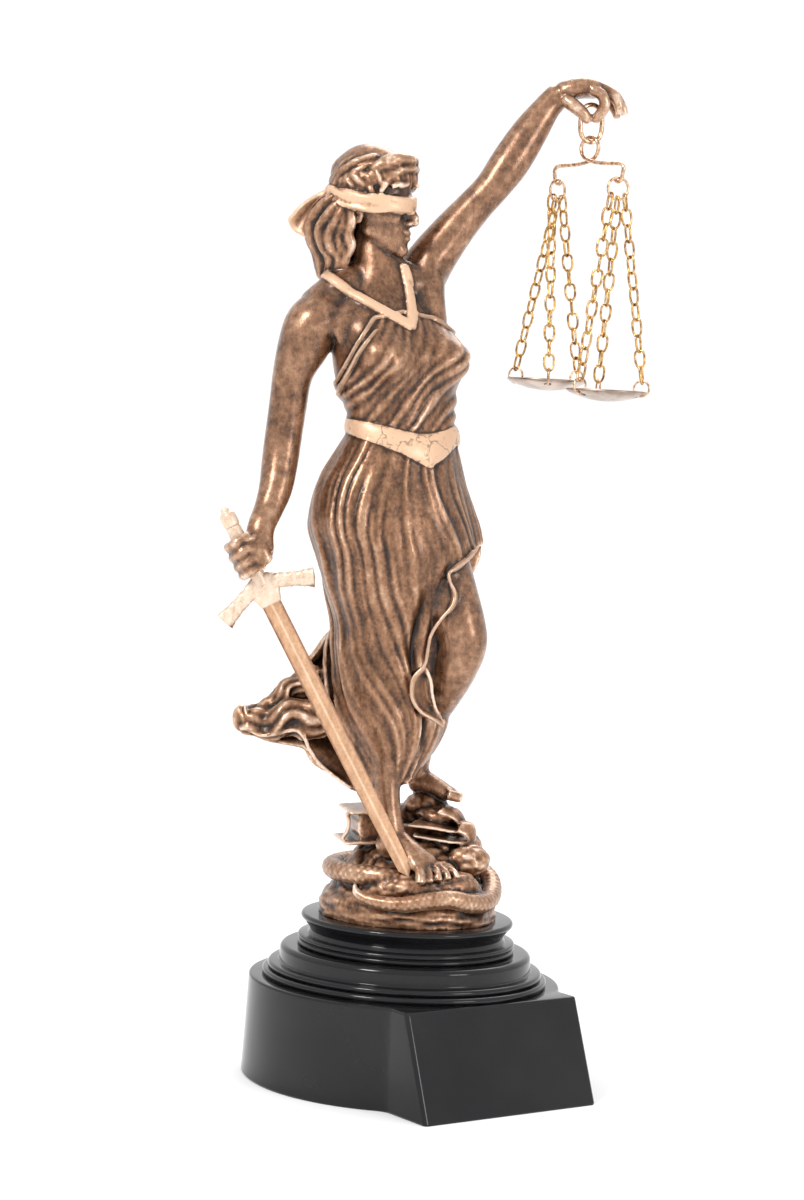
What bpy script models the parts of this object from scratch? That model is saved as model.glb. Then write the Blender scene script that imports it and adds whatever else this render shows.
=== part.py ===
# A justice trophy: a cast figure on a rock mound, with a sword and hanging scales, on a black turned base.
# Metres, +Z up. The origin is at the bottom centre of the base's drum, and its slanted front faces -Y.
import math

import bmesh
import bpy
import numpy as np
from mathutils import Matrix, Vector

mm = 0.001

# Base
drumFootRadius = 54.2 * mm
drumTopRadius = 53.3 * mm
drumHeight = 34.2 * mm
blockWidth = 72.1 * mm
blockFootReach = 62.6 * mm
blockTopReach = 49.7 * mm
blockFillet = 6.0 * mm
blockCornerRadius = 1.6 * mm
drumEdgeRadius = 1.0 * mm
lowRingRadius = 48.8 * mm
lowRingHeight = 2.3 * mm
secondRingRadius = 47.0 * mm
secondRingHeight = 2.3 * mm
bandRadius = 43.1 * mm
bandHeight = 6.0 * mm
beadRadius = 37.2 * mm
beadHeight = 1.9 * mm
neckRadius = 33.2 * mm
neckHeight = 3.2 * mm
discRadius = 36.4 * mm
discHeight = 4.0 * mm

# Figure
figureHeight = 287.6 * mm
figureTurn = -37.4
castVoxel = 0.85
castFaces = 4800
clearance = 0.3 * mm

# Sword
bladeLength = 108.0 * mm
bladeWidth = 6.6 * mm
bladeThickness = 2.2 * mm
guardSpan = 17.0 * mm
guardHeight = 5.2 * mm
guardDepth = 4.0 * mm
guardDroop = 22.0
gripRadius = 2.5 * mm
gripLength = 20.5 * mm
pommelRadius = 3.1 * mm

# Scales
ringWire = 1.6 * mm
ringInnerWidth = 6.8 * mm
ringTurn = 26.0
ringInnerHeight = 11.2 * mm
beamWire = 1.3 * mm
beamHalfSpan = 16.2 * mm
beamTurn = -47.2
loopWidth = 7.4 * mm
loopHeight = 8.6 * mm
hookRadius = 1.7 * mm
hookRingWire = 0.9 * mm
hookRingRadius = 3.7 * mm
leftRingTurn = 45.0
rightRingTurn = 18.0
ringSpread = 44.0
linkWire = 0.8 * mm
linkWidth = 3.6 * mm
linkCount = 12
leftPanTurn = 150.0
rightPanTurn = -20.0
leftHang = 62.6 * mm
rightHang = 65.6 * mm
panRadius = 13.8 * mm
panDepth = 3.1 * mm
panWall = 0.9 * mm
panHole = 2.6 * mm
panRingWire = 0.7 * mm
panRingRadius = 2.7 * mm
touch = 0.05 * mm

baseTop = (
    drumHeight + lowRingHeight + secondRingHeight + bandHeight + 2 * beadHeight + neckHeight + discHeight
)

# The figure's numbers are millimetres in its own frame: x across the pose, y to the back, z up from the floor
nominalHeight = 287.6
nominalTable = 55.9
figureScale = figureHeight / nominalHeight
torsoTurn = 35.0


def clearScene():
    for old in list(bpy.data.objects):
        bpy.data.objects.remove(old, do_unlink=True)


def material(name, colour, roughness, metallic):
    made = bpy.data.materials.new(name)
    made.use_nodes = True
    shader = made.node_tree.nodes["Principled BSDF"]
    shader.inputs["Base Color"].default_value = (*colour, 1.0)
    shader.inputs["Roughness"].default_value = roughness
    shader.inputs["Metallic"].default_value = metallic
    return made


def addObject(name, bm, finish):
    mesh = bpy.data.meshes.new(name)
    bm.to_mesh(mesh)
    bm.free()
    made = bpy.data.objects.new(name, mesh)
    bpy.context.scene.collection.objects.link(made)
    mesh.materials.append(finish)
    mesh.shade_smooth()
    mesh.set_sharp_from_angle(angle=math.radians(40))
    return made


def hideCutter(cutter):
    cutter.hide_render = True
    cutter.display_type = "WIRE"


def boolean(target, cutter, operation):
    step = target.modifiers.new(operation.title(), "BOOLEAN")
    step.operation = operation
    step.solver = "EXACT"
    step.object = cutter


def figurePlace():
    shift = Matrix.Translation((0, 0, baseTop))
    turn = Matrix.Rotation(math.radians(figureTurn), 4, "Z")
    lower = Matrix.Translation((0, 0, -nominalTable))
    return shift @ turn @ Matrix.Scale(figureScale, 4) @ lower


def place(x, y, z):
    return figurePlace() @ Vector((x, y, z))


# Curves and shells


def blend(rows, at):
    rows = np.asarray(rows, float)
    last = len(rows) - 1
    spot = np.clip(at, 0, 1) * last
    low = np.minimum(spot.astype(int), last - 1)
    part = (spot - low)[:, None]
    before, start = rows[np.maximum(low - 1, 0)], rows[low]
    end, after = rows[low + 1], rows[np.minimum(low + 2, last)]
    bend = 2 * before - 5 * start + 4 * end - after
    rest = 3 * start - before - 3 * end + after
    return 0.5 * (2 * start + (end - before) * part + bend * part**2 + rest * part**3)


def unitRows(vectors):
    return vectors / np.maximum(np.linalg.norm(vectors, axis=1, keepdims=True), 1e-9)


def readPoints(bm):
    return np.array([vert.co[:] for vert in bm.verts])


def faceOut(bm):
    bmesh.ops.recalc_face_normals(bm, faces=bm.faces[:])
    if bm.calc_volume(signed=True) < 0:
        bmesh.ops.reverse_faces(bm, faces=bm.faces[:])


def movePoints(bm, points):
    for vert, point in zip(bm.verts, points):
        vert.co = point
    faceOut(bm)


def tube(rows, sides=16, rings=20, side=None, power=2.0, ends=(0.04, 0.04), shape=None, crisp=False):
    # rows hold x, y, z, half width and half depth, and a turn in degrees where the sections lie level
    bm = bmesh.new()
    bmesh.ops.create_uvsphere(bm, u_segments=sides, v_segments=rings, radius=1.0)
    unit = readPoints(bm)
    along = np.arccos(np.clip(unit[:, 2], -1, 1)) / math.pi
    angle = np.arctan2(unit[:, 1], unit[:, 0])
    if crisp:
        inner = np.clip((along - 1 / rings) / (1 - 2 / rings), 0, 1)
        pole = (along < 0.5 / rings) | (along > 1 - 0.5 / rings)
        along = np.where(pole, np.round(along), ends[0] + inner * (1 - ends[0] - ends[1]))
    row = blend(rows, along)
    if side is None:
        turn = np.radians(row[:, 5])
        across = np.stack([np.cos(turn), np.sin(turn), 0 * turn], 1)
        deep = np.stack([-np.sin(turn), np.cos(turn), 0 * turn], 1)
    else:
        ahead = unitRows(blend(rows, along + 0.01)[:, :3] - blend(rows, along - 0.01)[:, :3])
        level = np.array(side, float)
        across = unitRows(level - (ahead @ level)[:, None] * ahead)
        deep = np.cross(ahead, across)
    near = np.clip(np.minimum(along / ends[0], (1 - along) / ends[1]), 0, 1)
    cap = np.sqrt(1 - (1 - near) ** 2)
    if crisp:
        cap = np.where(pole, 0.0, 1.0)
    cosine, sine = np.cos(angle), np.sin(angle)
    reach = (np.abs(cosine) ** power + np.abs(sine) ** power) ** (-1 / power)
    grow = shape(np.degrees(angle), row[:, 2], along) if shape else 0
    wide = (row[:, 3] * reach + grow) * cosine * cap
    far = (row[:, 4] * reach + grow) * sine * cap
    movePoints(bm, row[:, :3] + wide[:, None] * across + far[:, None] * deep)
    return bm


def ball(centre, radii, turn=0.0, sides=16, rings=12):
    bm = bmesh.new()
    bmesh.ops.create_uvsphere(bm, u_segments=sides, v_segments=rings, radius=1.0)
    grow = Matrix.Diagonal((*radii, 1.0))
    swing = Matrix.Rotation(math.radians(turn), 4, "Z")
    bmesh.ops.transform(bm, matrix=Matrix.Translation(centre) @ swing @ grow, verts=bm.verts[:])
    return bm


def cord(points, radii, sides=10, rings=24, side=(0, 0, 1), flat=1.0):
    radii = np.interp(np.linspace(0, 1, len(points)), np.linspace(0, 1, len(radii)), radii)
    rows = [(*point, radius, radius * flat) for point, radius in zip(points, radii)]
    return tube(rows, sides, rings, side=side, ends=(0.05, 0.05))


def sheet(grid, thickness, cuts=16):
    # a curved cloth through a grid of points, the same thickness all over
    bm = bmesh.new()
    bmesh.ops.create_cube(bm, size=1.0)
    bmesh.ops.subdivide_edges(bm, edges=bm.edges[:], cuts=cuts, use_grid_fill=True)
    unit = readPoints(bm) + (0.5, 0.5, 0.0)

    def surface(u, v):
        stack = np.stack([blend(line, v) for line in grid], 0)
        last = len(grid) - 1
        spot = np.clip(u, 0, 1) * last
        low = np.minimum(spot.astype(int), last - 1)
        part = (spot - low)[:, None]
        pick = np.arange(len(u))
        before, start = stack[np.maximum(low - 1, 0), pick], stack[low, pick]
        end, after = stack[low + 1, pick], stack[np.minimum(low + 2, last), pick]
        bend = 2 * before - 5 * start + 4 * end - after
        rest = 3 * start - before - 3 * end + after
        return 0.5 * (2 * start + (end - before) * part + bend * part**2 + rest * part**3)

    u, v = unit[:, 0], unit[:, 1]
    small = 0.02
    acrossU = surface(np.minimum(u + small, 1), v) - surface(np.maximum(u - small, 0), v)
    acrossV = surface(u, np.minimum(v + small, 1)) - surface(u, np.maximum(v - small, 0))
    normal = unitRows(np.cross(acrossU, acrossV))
    movePoints(bm, surface(u, v) + normal * (unit[:, 2] * thickness)[:, None])
    return bm


def pleats(position):
    # rounded ridges with narrow valleys between them
    return np.sqrt(np.sin(math.pi * position) ** 2 + 0.02) - 0.66


def soft(value):
    value = np.clip(value, 0, 1)
    return value * value * (3 - 2 * value)


# Torso, neck and head

torsoRows = [
    (-24.5, 2.0, 289.0, 6.0, 6.4, torsoTurn),
    (-23.2, 1.8, 281.0, 6.8, 7.0, torsoTurn),
    (-21.8, 1.5, 274.0, 7.6, 7.6, torsoTurn),
    (-20.5, 1.5, 268.5, 12.0, 9.4, torsoTurn),
    (-19.0, 1.0, 263.5, 19.5, 11.4, torsoTurn),
    (-17.0, 0.5, 257.5, 23.0, 13.6, torsoTurn),
    (-15.0, 0.0, 250.0, 23.6, 15.2, torsoTurn),
    (-13.8, 0.0, 242.0, 23.4, 15.8, torsoTurn),
    (-13.2, 0.0, 234.0, 21.8, 15.0, torsoTurn),
    (-11.6, 0.0, 227.0, 19.6, 14.2, torsoTurn),
    (-10.6, 0.0, 220.0, 19.8, 14.6, torsoTurn),
    (-11.5, 0.0, 211.0, 22.5, 16.8, torsoTurn),
]


def bust(angle, z):
    lump = 0
    for sideways, height, reach in ((-34.0, 245.5, 5.8), (32.0, 246.5, 5.8)):
        away = ((angle + 90 - sideways) / 23.0) ** 2 + ((z - height) / 8.2) ** 2
        lump = lump + reach * np.exp(-(away**1.35))
    return lump


def necklineHeight(angle):
    # the dress's top edge, lowest under the bare shoulder
    left = np.interp(
        (angle + 225) % 360,
        [0, 10, 86, 128, 178, 225, 285, 350, 360],
        [240, 240, 258.5, 261.5, 255.5, 249, 246, 241, 240],
    )
    return left


def bodice(angle, z, along):
    cloth = soft((necklineHeight(angle) - z) / 1.2) * soft((z - 221.0) / 2.0)
    sweep = (angle + 235) % 360
    line = z - 23.0 * (sweep / 100.0) ** 2
    edge = np.exp(-(((z - necklineHeight(angle)) / 0.9) ** 2))
    return bust(angle, z) + cloth * (2.3 * pleats(line / 8.6) + 0.7) + 0.5 * edge


def torso():
    trunk = tube(torsoRows, 150, 120, ends=(0.02, 0.03), shape=bodice)
    slope = [(-20.0, 3.0, 281.0), (-27.0, 0.0, 271.5), (-35.0, -4.5, 264.5), (-43.0, -8.0, 259.0)]
    return [trunk, cord(slope, (5.0, 6.2, 7.6, 7.0), 16, 16, side=(0, 1, 0))]


beltTop = 223.6
beltFoot = 216.6
beltPoint = 209.0


def belt():
    # a flat band round the waist that dips to a point in front
    sides, levels = 96, 9
    bm = bmesh.new()
    bmesh.ops.create_uvsphere(bm, u_segments=sides, v_segments=levels, radius=1.0)
    unit = readPoints(bm)
    along = np.arccos(np.clip(unit[:, 2], -1, 1)) / math.pi
    angle = np.degrees(np.arctan2(unit[:, 1], unit[:, 0]))
    front = np.abs((angle + 90 + 180) % 360 - 180)
    dip = np.clip(1 - front / 46.0, 0, 1)
    top = beltTop - 3.2 * soft(dip)
    foot = beltFoot - (beltFoot - beltPoint) * dip
    share = np.clip((along - 1 / levels) / (1 - 2 / levels), 0, 1)
    z = top + (foot - top) * share
    at = np.interp(-z, [-row[2] for row in torsoRows], np.linspace(0, 1, len(torsoRows)))
    row = blend(torsoRows, at)
    turn = np.radians(torsoTurn)
    reach = np.where((along < 0.05) | (along > 0.95), 0.0, 1.0) * (1 + 0 * row[:, 3])
    thick = 1.5
    wide = (row[:, 3] + thick) * np.cos(np.radians(angle)) * reach
    far = (row[:, 4] + thick) * np.sin(np.radians(angle)) * reach
    x = row[:, 0] + wide * math.cos(turn) - far * math.sin(turn)
    y = row[:, 1] + wide * math.sin(turn) + far * math.cos(turn)
    movePoints(bm, np.stack([x, y, z], 1))
    return bm


collarPath = (
    (-36.0, 4.0, 271.0),
    (-35.5, -4.0, 269.0),
    (-29.5, -9.6, 265.5),
    (-19.5, -12.2, 260.6),
    (-9.4, -13.0, 256.8),
    (-7.4, -11.2, 261.5),
    (-7.6, -8.0, 269.5),
    (-9.8, -3.0, 277.5),
    (-14.0, 5.0, 281.0),
)


def collar():
    rows = [(*point, 2.0, 1.6) for point in collarPath]
    return tube(rows, 8, 60, side=(1.0, 0.2, 0.8), power=3.0, ends=(0.02, 0.02))


headCentre = (-24.4, 0.0, 298.2)
headTurn = -13.0
headNod = 0.0


def headPlace():
    # local x runs to the face, y to her left, z up
    return (
        Matrix.Translation(headCentre)
        @ Matrix.Rotation(math.radians(headTurn), 4, "Z")
        @ Matrix.Rotation(math.radians(headNod), 4, "Y")
    )


def onHead(bm):
    bmesh.ops.transform(bm, matrix=headPlace(), verts=bm.verts[:])
    return bm


def headShells():
    face = [
        (2.6, 0, 10.0, 9.0, 9.2, 0),
        (3.2, 0, 2.0, 9.8, 9.6, 0),
        (3.6, 0, -5.5, 9.2, 9.0, 0),
        (3.4, 0, -11.0, 9.4, 7.8, 0),
        (5.2, 0, -15.4, 7.4, 5.8, 0),
        (7.2, 0, -18.0, 5.0, 3.8, 0),
    ]
    shells = [
        ball((-1.6, 0, 4.6), (13.4, 11.4, 13.6), sides=24, rings=16),
        tube(face, 20, 18, ends=(0.15, 0.1)),
        cord([(12.2, 0, 0.0), (13.6, 0, -3.4), (15.4, 0, -6.8)], (1.2, 1.4, 1.8), 8, 10, side=(0, 1, 0)),
        ball((14.2, 0, -7.6), (2.0, 2.4, 1.3), sides=10, rings=8),
        ball((12.4, 0, -11.2), (1.7, 3.2, 1.0), sides=10, rings=6),
        ball((12.2, 0, -13.0), (1.7, 2.8, 1.1), sides=10, rings=6),
        ball((10.6, 0, -16.8), (2.9, 3.2, 2.3), sides=10, rings=8),
        ball((-2.4, -10.2, -5.0), (2.2, 1.6, 3.8), sides=10, rings=8),
        ball((-2.4, 10.2, -5.0), (2.2, 1.6, 3.8), sides=10, rings=8),
    ]
    for left in (-1, 1):
        shells.append(ball((-0.5, left * 5.6, -9.6), (3.6, 2.8, 3.4), sides=10, rings=8))
    return [onHead(shell) for shell in shells]


def blindfoldShells():
    # the band round the eyes and its loose tail behind
    around = []
    for step in range(25):
        angle = math.radians(360.0 * step / 24)
        lift = -0.75 - 0.7 * math.cos(angle) + 0.85 * math.cos(2 * angle)
        around.append((-0.4 + 13.9 * math.cos(angle), 12.2 * math.sin(angle), lift))
    rows = [(*point, 2.9, 1.2) for point in around]
    band = tube(rows, 10, 72, side=(0, 0, 1), power=3.0, ends=(0.004, 0.004))
    knot = ball((-13.6, 3.0, 1.6), (2.2, 3.0, 2.6), sides=10, rings=8)
    tail = [
        [(-38.0, 1.0, 303.0), (-38.5, 0.5, 300.5), (-37.5, 0.5, 297.0)],
        [(-43.5, 0.5, 299.5), (-44.5, 2.0, 296.0), (-42.5, 1.0, 291.5)],
        [(-49.5, -0.5, 294.0), (-49.0, 2.5, 290.0), (-46.0, 1.0, 286.5)],
        [(-52.5, 0.0, 289.5), (-51.0, 1.5, 286.5), (-46.5, 0.0, 283.5)],
    ]
    return [onHead(band), onHead(knot), sheet(tail, 2.2, 10)]


def hairShells():
    shells = []
    mass = [
        (-33.0, 1.0, 301.0, 6.6, 9.6, 0),
        (-35.4, 1.0, 293.0, 7.6, 10.6, 0),
        (-37.4, 1.5, 285.0, 6.6, 10.0, 0),
        (-36.6, 1.5, 278.0, 4.8, 8.4, 0),
        (-35.4, 1.5, 271.5, 3.4, 6.0, 0),
    ]

    def strands(angle, z, along):
        wave = 16.0 * np.sin(z / 3.0) + 2.5 * z
        return 1.3 * pleats((angle + wave) / 36.0)

    shells.append(tube(mass, 60, 40, ends=(0.1, 0.12), shape=strands))
    for index in range(6):
        angle = math.radians(-150 + 26 * index)
        lock = []
        for step in range(7):
            share = step / 6
            width = 7.6 - 3.0 * share + 0.8 * math.sin(9 * share + index)
            swing = angle + 0.2 * math.sin(8 * share + 1.7 * index)
            x = -35.8 - 1.4 * share + width * math.cos(swing)
            lock.append((x, 1.2 + 1.2 * width * math.sin(swing), 294.0 - 22.0 * share))
        shells.append(cord(lock, (1.0, 2.0, 1.8, 0.8), 8, 18))
    for index in range(12):
        # locks swept forward and up over the crown
        side = -1 if index % 2 else 1
        start = -10.5 + 1.7 * index
        lock = [
            (start - 5.0, side * 10.4, 3.6),
            (start - 2.4, side * 10.6, 8.6),
            (start + 0.6, side * 7.2, 14.6 - 0.012 * start**2),
            (start + 2.0, side * 1.6, 17.6 - 0.045 * start**2),
        ]
        shells.append(onHead(cord(lock, (1.2, 1.7, 1.7, 1.2), 8, 14)))
    brow = [(9.6, 8.4, 6.5), (12.6, 4.4, 11.0), (13.0, -1.0, 12.8), (11.0, -6.2, 11.6), (6.0, -9.6, 8.0)]
    shells.append(onHead(cord(brow, (1.2, 2.2, 2.6, 2.2, 1.2), 8, 18)))
    fringe = [(11.4, 6.5, 4.0), (13.6, 2.5, 6.8), (13.6, -2.5, 7.4), (10.4, -8.0, 5.2), (5.0, -11.0, 3.6)]
    shells.append(onHead(cord(fringe, (1.2, 2.0, 2.0, 1.8, 1.0), 8, 16)))
    return shells


# Arms and hands


def rightArmShells():
    arm = [
        (-33.0, -6.0, 259.5, 8.0, 8.0),
        (-41.4, -9.6, 256.0, 9.6, 9.6),
        (-45.4, -11.2, 247.0, 8.6, 9.0),
        (-48.2, -12.0, 238.0, 6.8, 7.6),
        (-49.2, -12.4, 228.0, 6.4, 6.9),
        (-50.2, -13.2, 217.0, 6.3, 6.3),
        (-50.8, -14.6, 209.0, 6.2, 6.2),
        (-51.8, -17.8, 200.0, 5.6, 5.7),
        (-53.8, -21.6, 190.5, 4.9, 4.6),
        (-56.0, -24.4, 183.0, 4.9, 4.5),
        (-57.2, -25.4, 178.0, 4.6, 5.2),
    ]
    return [tube(arm, 20, 44, side=(1, 0, 0), ends=(0.08, 0.05))]


gripMiddle = (-60.2, -27.0, 178.8)
swordLean = (0.494, 0.010, -0.869)


def gripFrame():
    down = Vector(swordLean).normalized()
    front = Vector((0, -1, 0))
    front = (front - front.dot(down) * down).normalized()
    right = down.cross(front).normalized()
    return Vector(gripMiddle), down, front, right


def rightHandShells():
    middle, down, front, right = gripFrame()
    shells = []
    # palm and back of the hand beside the grip
    palm = [
        middle - 8.0 * down + 4.6 * right - 1.0 * front,
        middle - 3.0 * down + 5.0 * right - 1.2 * front,
        middle + 3.0 * down + 4.8 * right - 1.0 * front,
        middle + 8.0 * down + 4.0 * right - 0.4 * front,
    ]
    rows = [(*point, 5.2, 3.4) for point in palm]
    shells.append(tube(rows, 12, 14, side=tuple(front), ends=(0.15, 0.15)))
    for index in range(4):
        drop = -7.2 + 4.7 * index
        size = 2.5 if index in (1, 2) else 2.3
        bend = []
        for step in range(9):
            turn = math.radians(-75 + 31 * step)
            reach = 5.0 + 0.6 * math.sin(3 * turn)
            point = middle + drop * down + reach * (-math.cos(turn) * right - math.sin(turn) * front)
            bend.append(tuple(point - 0.25 * step * down * 0.2))
        shells.append(cord(bend, (size, size, size * 0.95, size * 0.8), 9, 22, side=tuple(down)))
    thumb = [
        middle - 5.0 * down + 3.6 * right + 3.2 * front,
        middle + 1.0 * down + 3.4 * right + 5.2 * front,
        middle + 6.0 * down + 0.6 * right + 5.6 * front,
        middle + 8.6 * down - 2.4 * right + 4.6 * front,
    ]
    shells.append(cord([tuple(point) for point in thumb], (2.6, 2.5, 2.2, 1.8), 9, 16, side=(1, 0, 0)))
    return shells


def leftArmShells():
    arm = [
        (-16.0, 7.0, 259.0, 8.0, 8.0),
        (-10.5, 9.6, 268.5, 9.4, 9.2),
        (-3.8, 11.5, 280.5, 8.2, 8.2),
        (3.4, 12.6, 291.0, 7.0, 7.0),
        (10.0, 13.6, 299.4, 6.2, 6.3),
        (15.4, 14.5, 306.0, 6.1, 6.2),
        (21.2, 16.0, 315.0, 6.8, 6.3),
        (27.4, 18.0, 325.8, 6.2, 5.7),
        (33.2, 19.4, 335.0, 4.8, 4.5),
        (38.0, 20.0, 340.4, 4.6, 3.9),
    ]
    return [tube(arm, 20, 40, side=(0.8, 0, -0.55), ends=(0.08, 0.05))]


def leftHandShells():
    palm = [
        (36.5, 19.8, 339.6, 4.4, 3.6),
        (42.0, 20.2, 342.2, 5.4, 3.4),
        (47.0, 20.6, 343.0, 5.8, 3.0),
        (51.0, 20.8, 341.8, 5.4, 2.6),
    ]
    shells = [tube(palm, 14, 14, side=(0, 1, 0), ends=(0.1, 0.2))]
    fingers = (
        ([(48.0, 16.2, 342.0), (51.8, 15.6, 338.6), (51.4, 15.8, 333.4), (48.8, 16.8, 329.6)], 2.1),
        ([(50.0, 19.4, 343.0), (55.4, 18.9, 341.0), (59.2, 18.9, 337.0), (61.0, 19.2, 333.6)], 2.1),
        ([(50.0, 22.4, 342.6), (54.8, 22.6, 339.8), (57.6, 22.6, 335.8), (58.4, 22.4, 332.0)], 2.0),
        ([(49.0, 25.2, 341.2), (53.0, 25.6, 337.8), (55.0, 25.6, 334.4), (55.2, 25.2, 331.2)], 1.8),
        ([(39.5, 17.4, 338.6), (43.6, 15.4, 335.4), (46.2, 15.2, 331.8), (47.6, 16.2, 328.8)], 2.3),
    )
    for points, size in fingers:
        shells.append(cord(points, (size, size, size * 0.9, size * 0.75), 9, 18, side=(0, 1, 0)))
    return shells


# Skirt and legs

skirtRows = [
    (-10.6, 0.0, 221.5, 19.4, 14.2, torsoTurn),
    (-12.0, 0.0, 212.0, 23.0, 17.0, torsoTurn),
    (-13.0, 0.4, 204.0, 26.4, 19.6, torsoTurn),
    (-12.6, 0.6, 196.0, 29.2, 21.6, torsoTurn),
    (-11.4, 0.6, 187.5, 30.6, 23.0, torsoTurn),
    (-9.6, 0.6, 178.5, 28.8, 22.6, torsoTurn),
    (-10.6, 0.4, 167.0, 23.6, 20.4, torsoTurn),
    (-11.8, 0.2, 156.0, 18.0, 18.0, torsoTurn),
    (-12.6, 0.0, 146.0, 16.6, 17.0, torsoTurn),
    (-11.0, -0.6, 135.0, 17.2, 17.4, torsoTurn),
    (-8.6, -1.6, 125.0, 17.6, 17.4, torsoTurn),
    (-8.0, -2.8, 116.0, 14.6, 14.8, torsoTurn),
    (-8.4, -5.0, 107.5, 9.8, 10.4, torsoTurn),
    (-8.8, -7.4, 101.5, 6.4, 7.0, torsoTurn),
]
pleatCount = 13


def drape(angle, z, along):
    # pleats fan out from the belt, run down the legs and gather towards the front foot
    fall = (221.5 - z) / 120.0
    swing = 26.0 * fall**2 * np.sin(np.radians(angle + 60)) + 5.0 * np.sin(np.radians(3 * angle) + 5 * fall)
    line = (angle + swing) * pleatCount / 360.0
    depth = 1.5 + 2.1 * soft(fall / 0.35)
    second = pleats(line * 0.5 + 0.27 + 0.6 * fall)
    folds = depth * (0.7 * pleats(line) + 0.9 * second)
    trough = np.exp(-(((angle + 76 - 26 * (fall - 0.5)) / 9.0) ** 2)) * soft((fall - 0.35) / 0.2)
    return folds - 3.4 * trough


def skirt():
    return tube(skirtRows, 130, 96, ends=(0.01, 0.03), shape=drape)


def legShells():
    leftLeg = [
        (-4.0, 2.0, 196.0, 10.5, 10.5),
        (1.5, -2.0, 184.0, 10.8, 10.4),
        (7.4, -6.0, 170.0, 9.6, 9.4),
        (12.2, -9.0, 157.5, 8.8, 8.8),
        (13.8, -9.6, 150.5, 8.2, 8.6),
        (11.6, -6.5, 142.0, 7.6, 8.2),
        (7.6, -1.6, 133.5, 7.2, 8.2),
        (3.8, 3.4, 125.0, 6.3, 7.4),
        (1.0, 7.6, 115.0, 4.9, 5.6),
        (-0.4, 10.0, 106.5, 3.9, 4.2),
        (-0.6, 11.4, 99.8, 3.8, 4.2),
    ]
    leftFoot = [
        (-4.2, 12.8, 98.6, 3.4, 3.2),
        (0.4, 11.4, 99.4, 3.9, 3.6),
        (5.6, 9.6, 98.8, 4.0, 2.8),
        (10.6, 8.0, 97.8, 4.2, 2.3),
        (15.6, 6.8, 96.8, 3.2, 1.7),
    ]
    rightLeg = [
        (-14.0, -4.0, 190.0, 11.5, 11.0),
        (-14.0, -6.0, 165.0, 9.6, 9.6),
        (-13.0, -8.0, 148.0, 8.4, 8.6),
        (-11.6, -8.4, 130.0, 7.4, 8.0),
        (-10.0, -10.5, 112.0, 5.4, 5.6),
        (-9.0, -12.6, 99.0, 4.4, 4.5),
        (-7.6, -14.2, 90.0, 4.3, 4.6),
        (-6.2, -15.4, 83.0, 4.6, 5.0),
    ]
    rightFoot = [
        (-9.6, -11.0, 79.0, 4.0, 4.2),
        (-5.8, -14.6, 82.0, 4.8, 5.6),
        (-0.8, -19.4, 80.6, 5.2, 4.6),
        (4.0, -23.2, 76.2, 5.8, 3.2),
        (7.4, -25.8, 72.8, 6.0, 2.2),
    ]
    shells = [
        tube(leftLeg, 20, 44, side=(1, 0, 0), ends=(0.08, 0.05)),
        tube(leftFoot, 14, 16, side=(0.2, 1, 0), ends=(0.12, 0.14)),
        tube(rightLeg, 18, 36, side=(1, 0, 0), ends=(0.08, 0.08)),
        tube(rightFoot, 14, 16, side=(0.8, 0.6, 0), ends=(0.12, 0.16)),
    ]
    for index in range(5):
        spread = index / 4
        root = (3.2 + 9.0 * spread, -25.4 + 3.6 * spread, 73.4 + 0.8 * spread)
        tip = (3.4 + 11.4 * spread, -29.6 + 4.6 * spread, 69.6 + 2.0 * spread)
        middle = tuple((root[k] + tip[k]) / 2 + (0, -0.4, 1.0)[k] for k in range(3))
        size = 2.0 - 0.7 * spread
        shells.append(cord([root, middle, tip], (size, size * 0.9, size * 0.95), 8, 10, side=(1, 0, 0)))
    for index in range(4):
        spread = index / 3
        root = (12.0, 10.6 - 5.6 * spread, 97.4)
        tip = (18.4 - 1.6 * spread, 8.4 - 5.4 * spread, 96.0)
        shells.append(cord([root, tip], (1.5, 1.2), 8, 8, side=(0, 1, 0)))
    return shells


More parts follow.
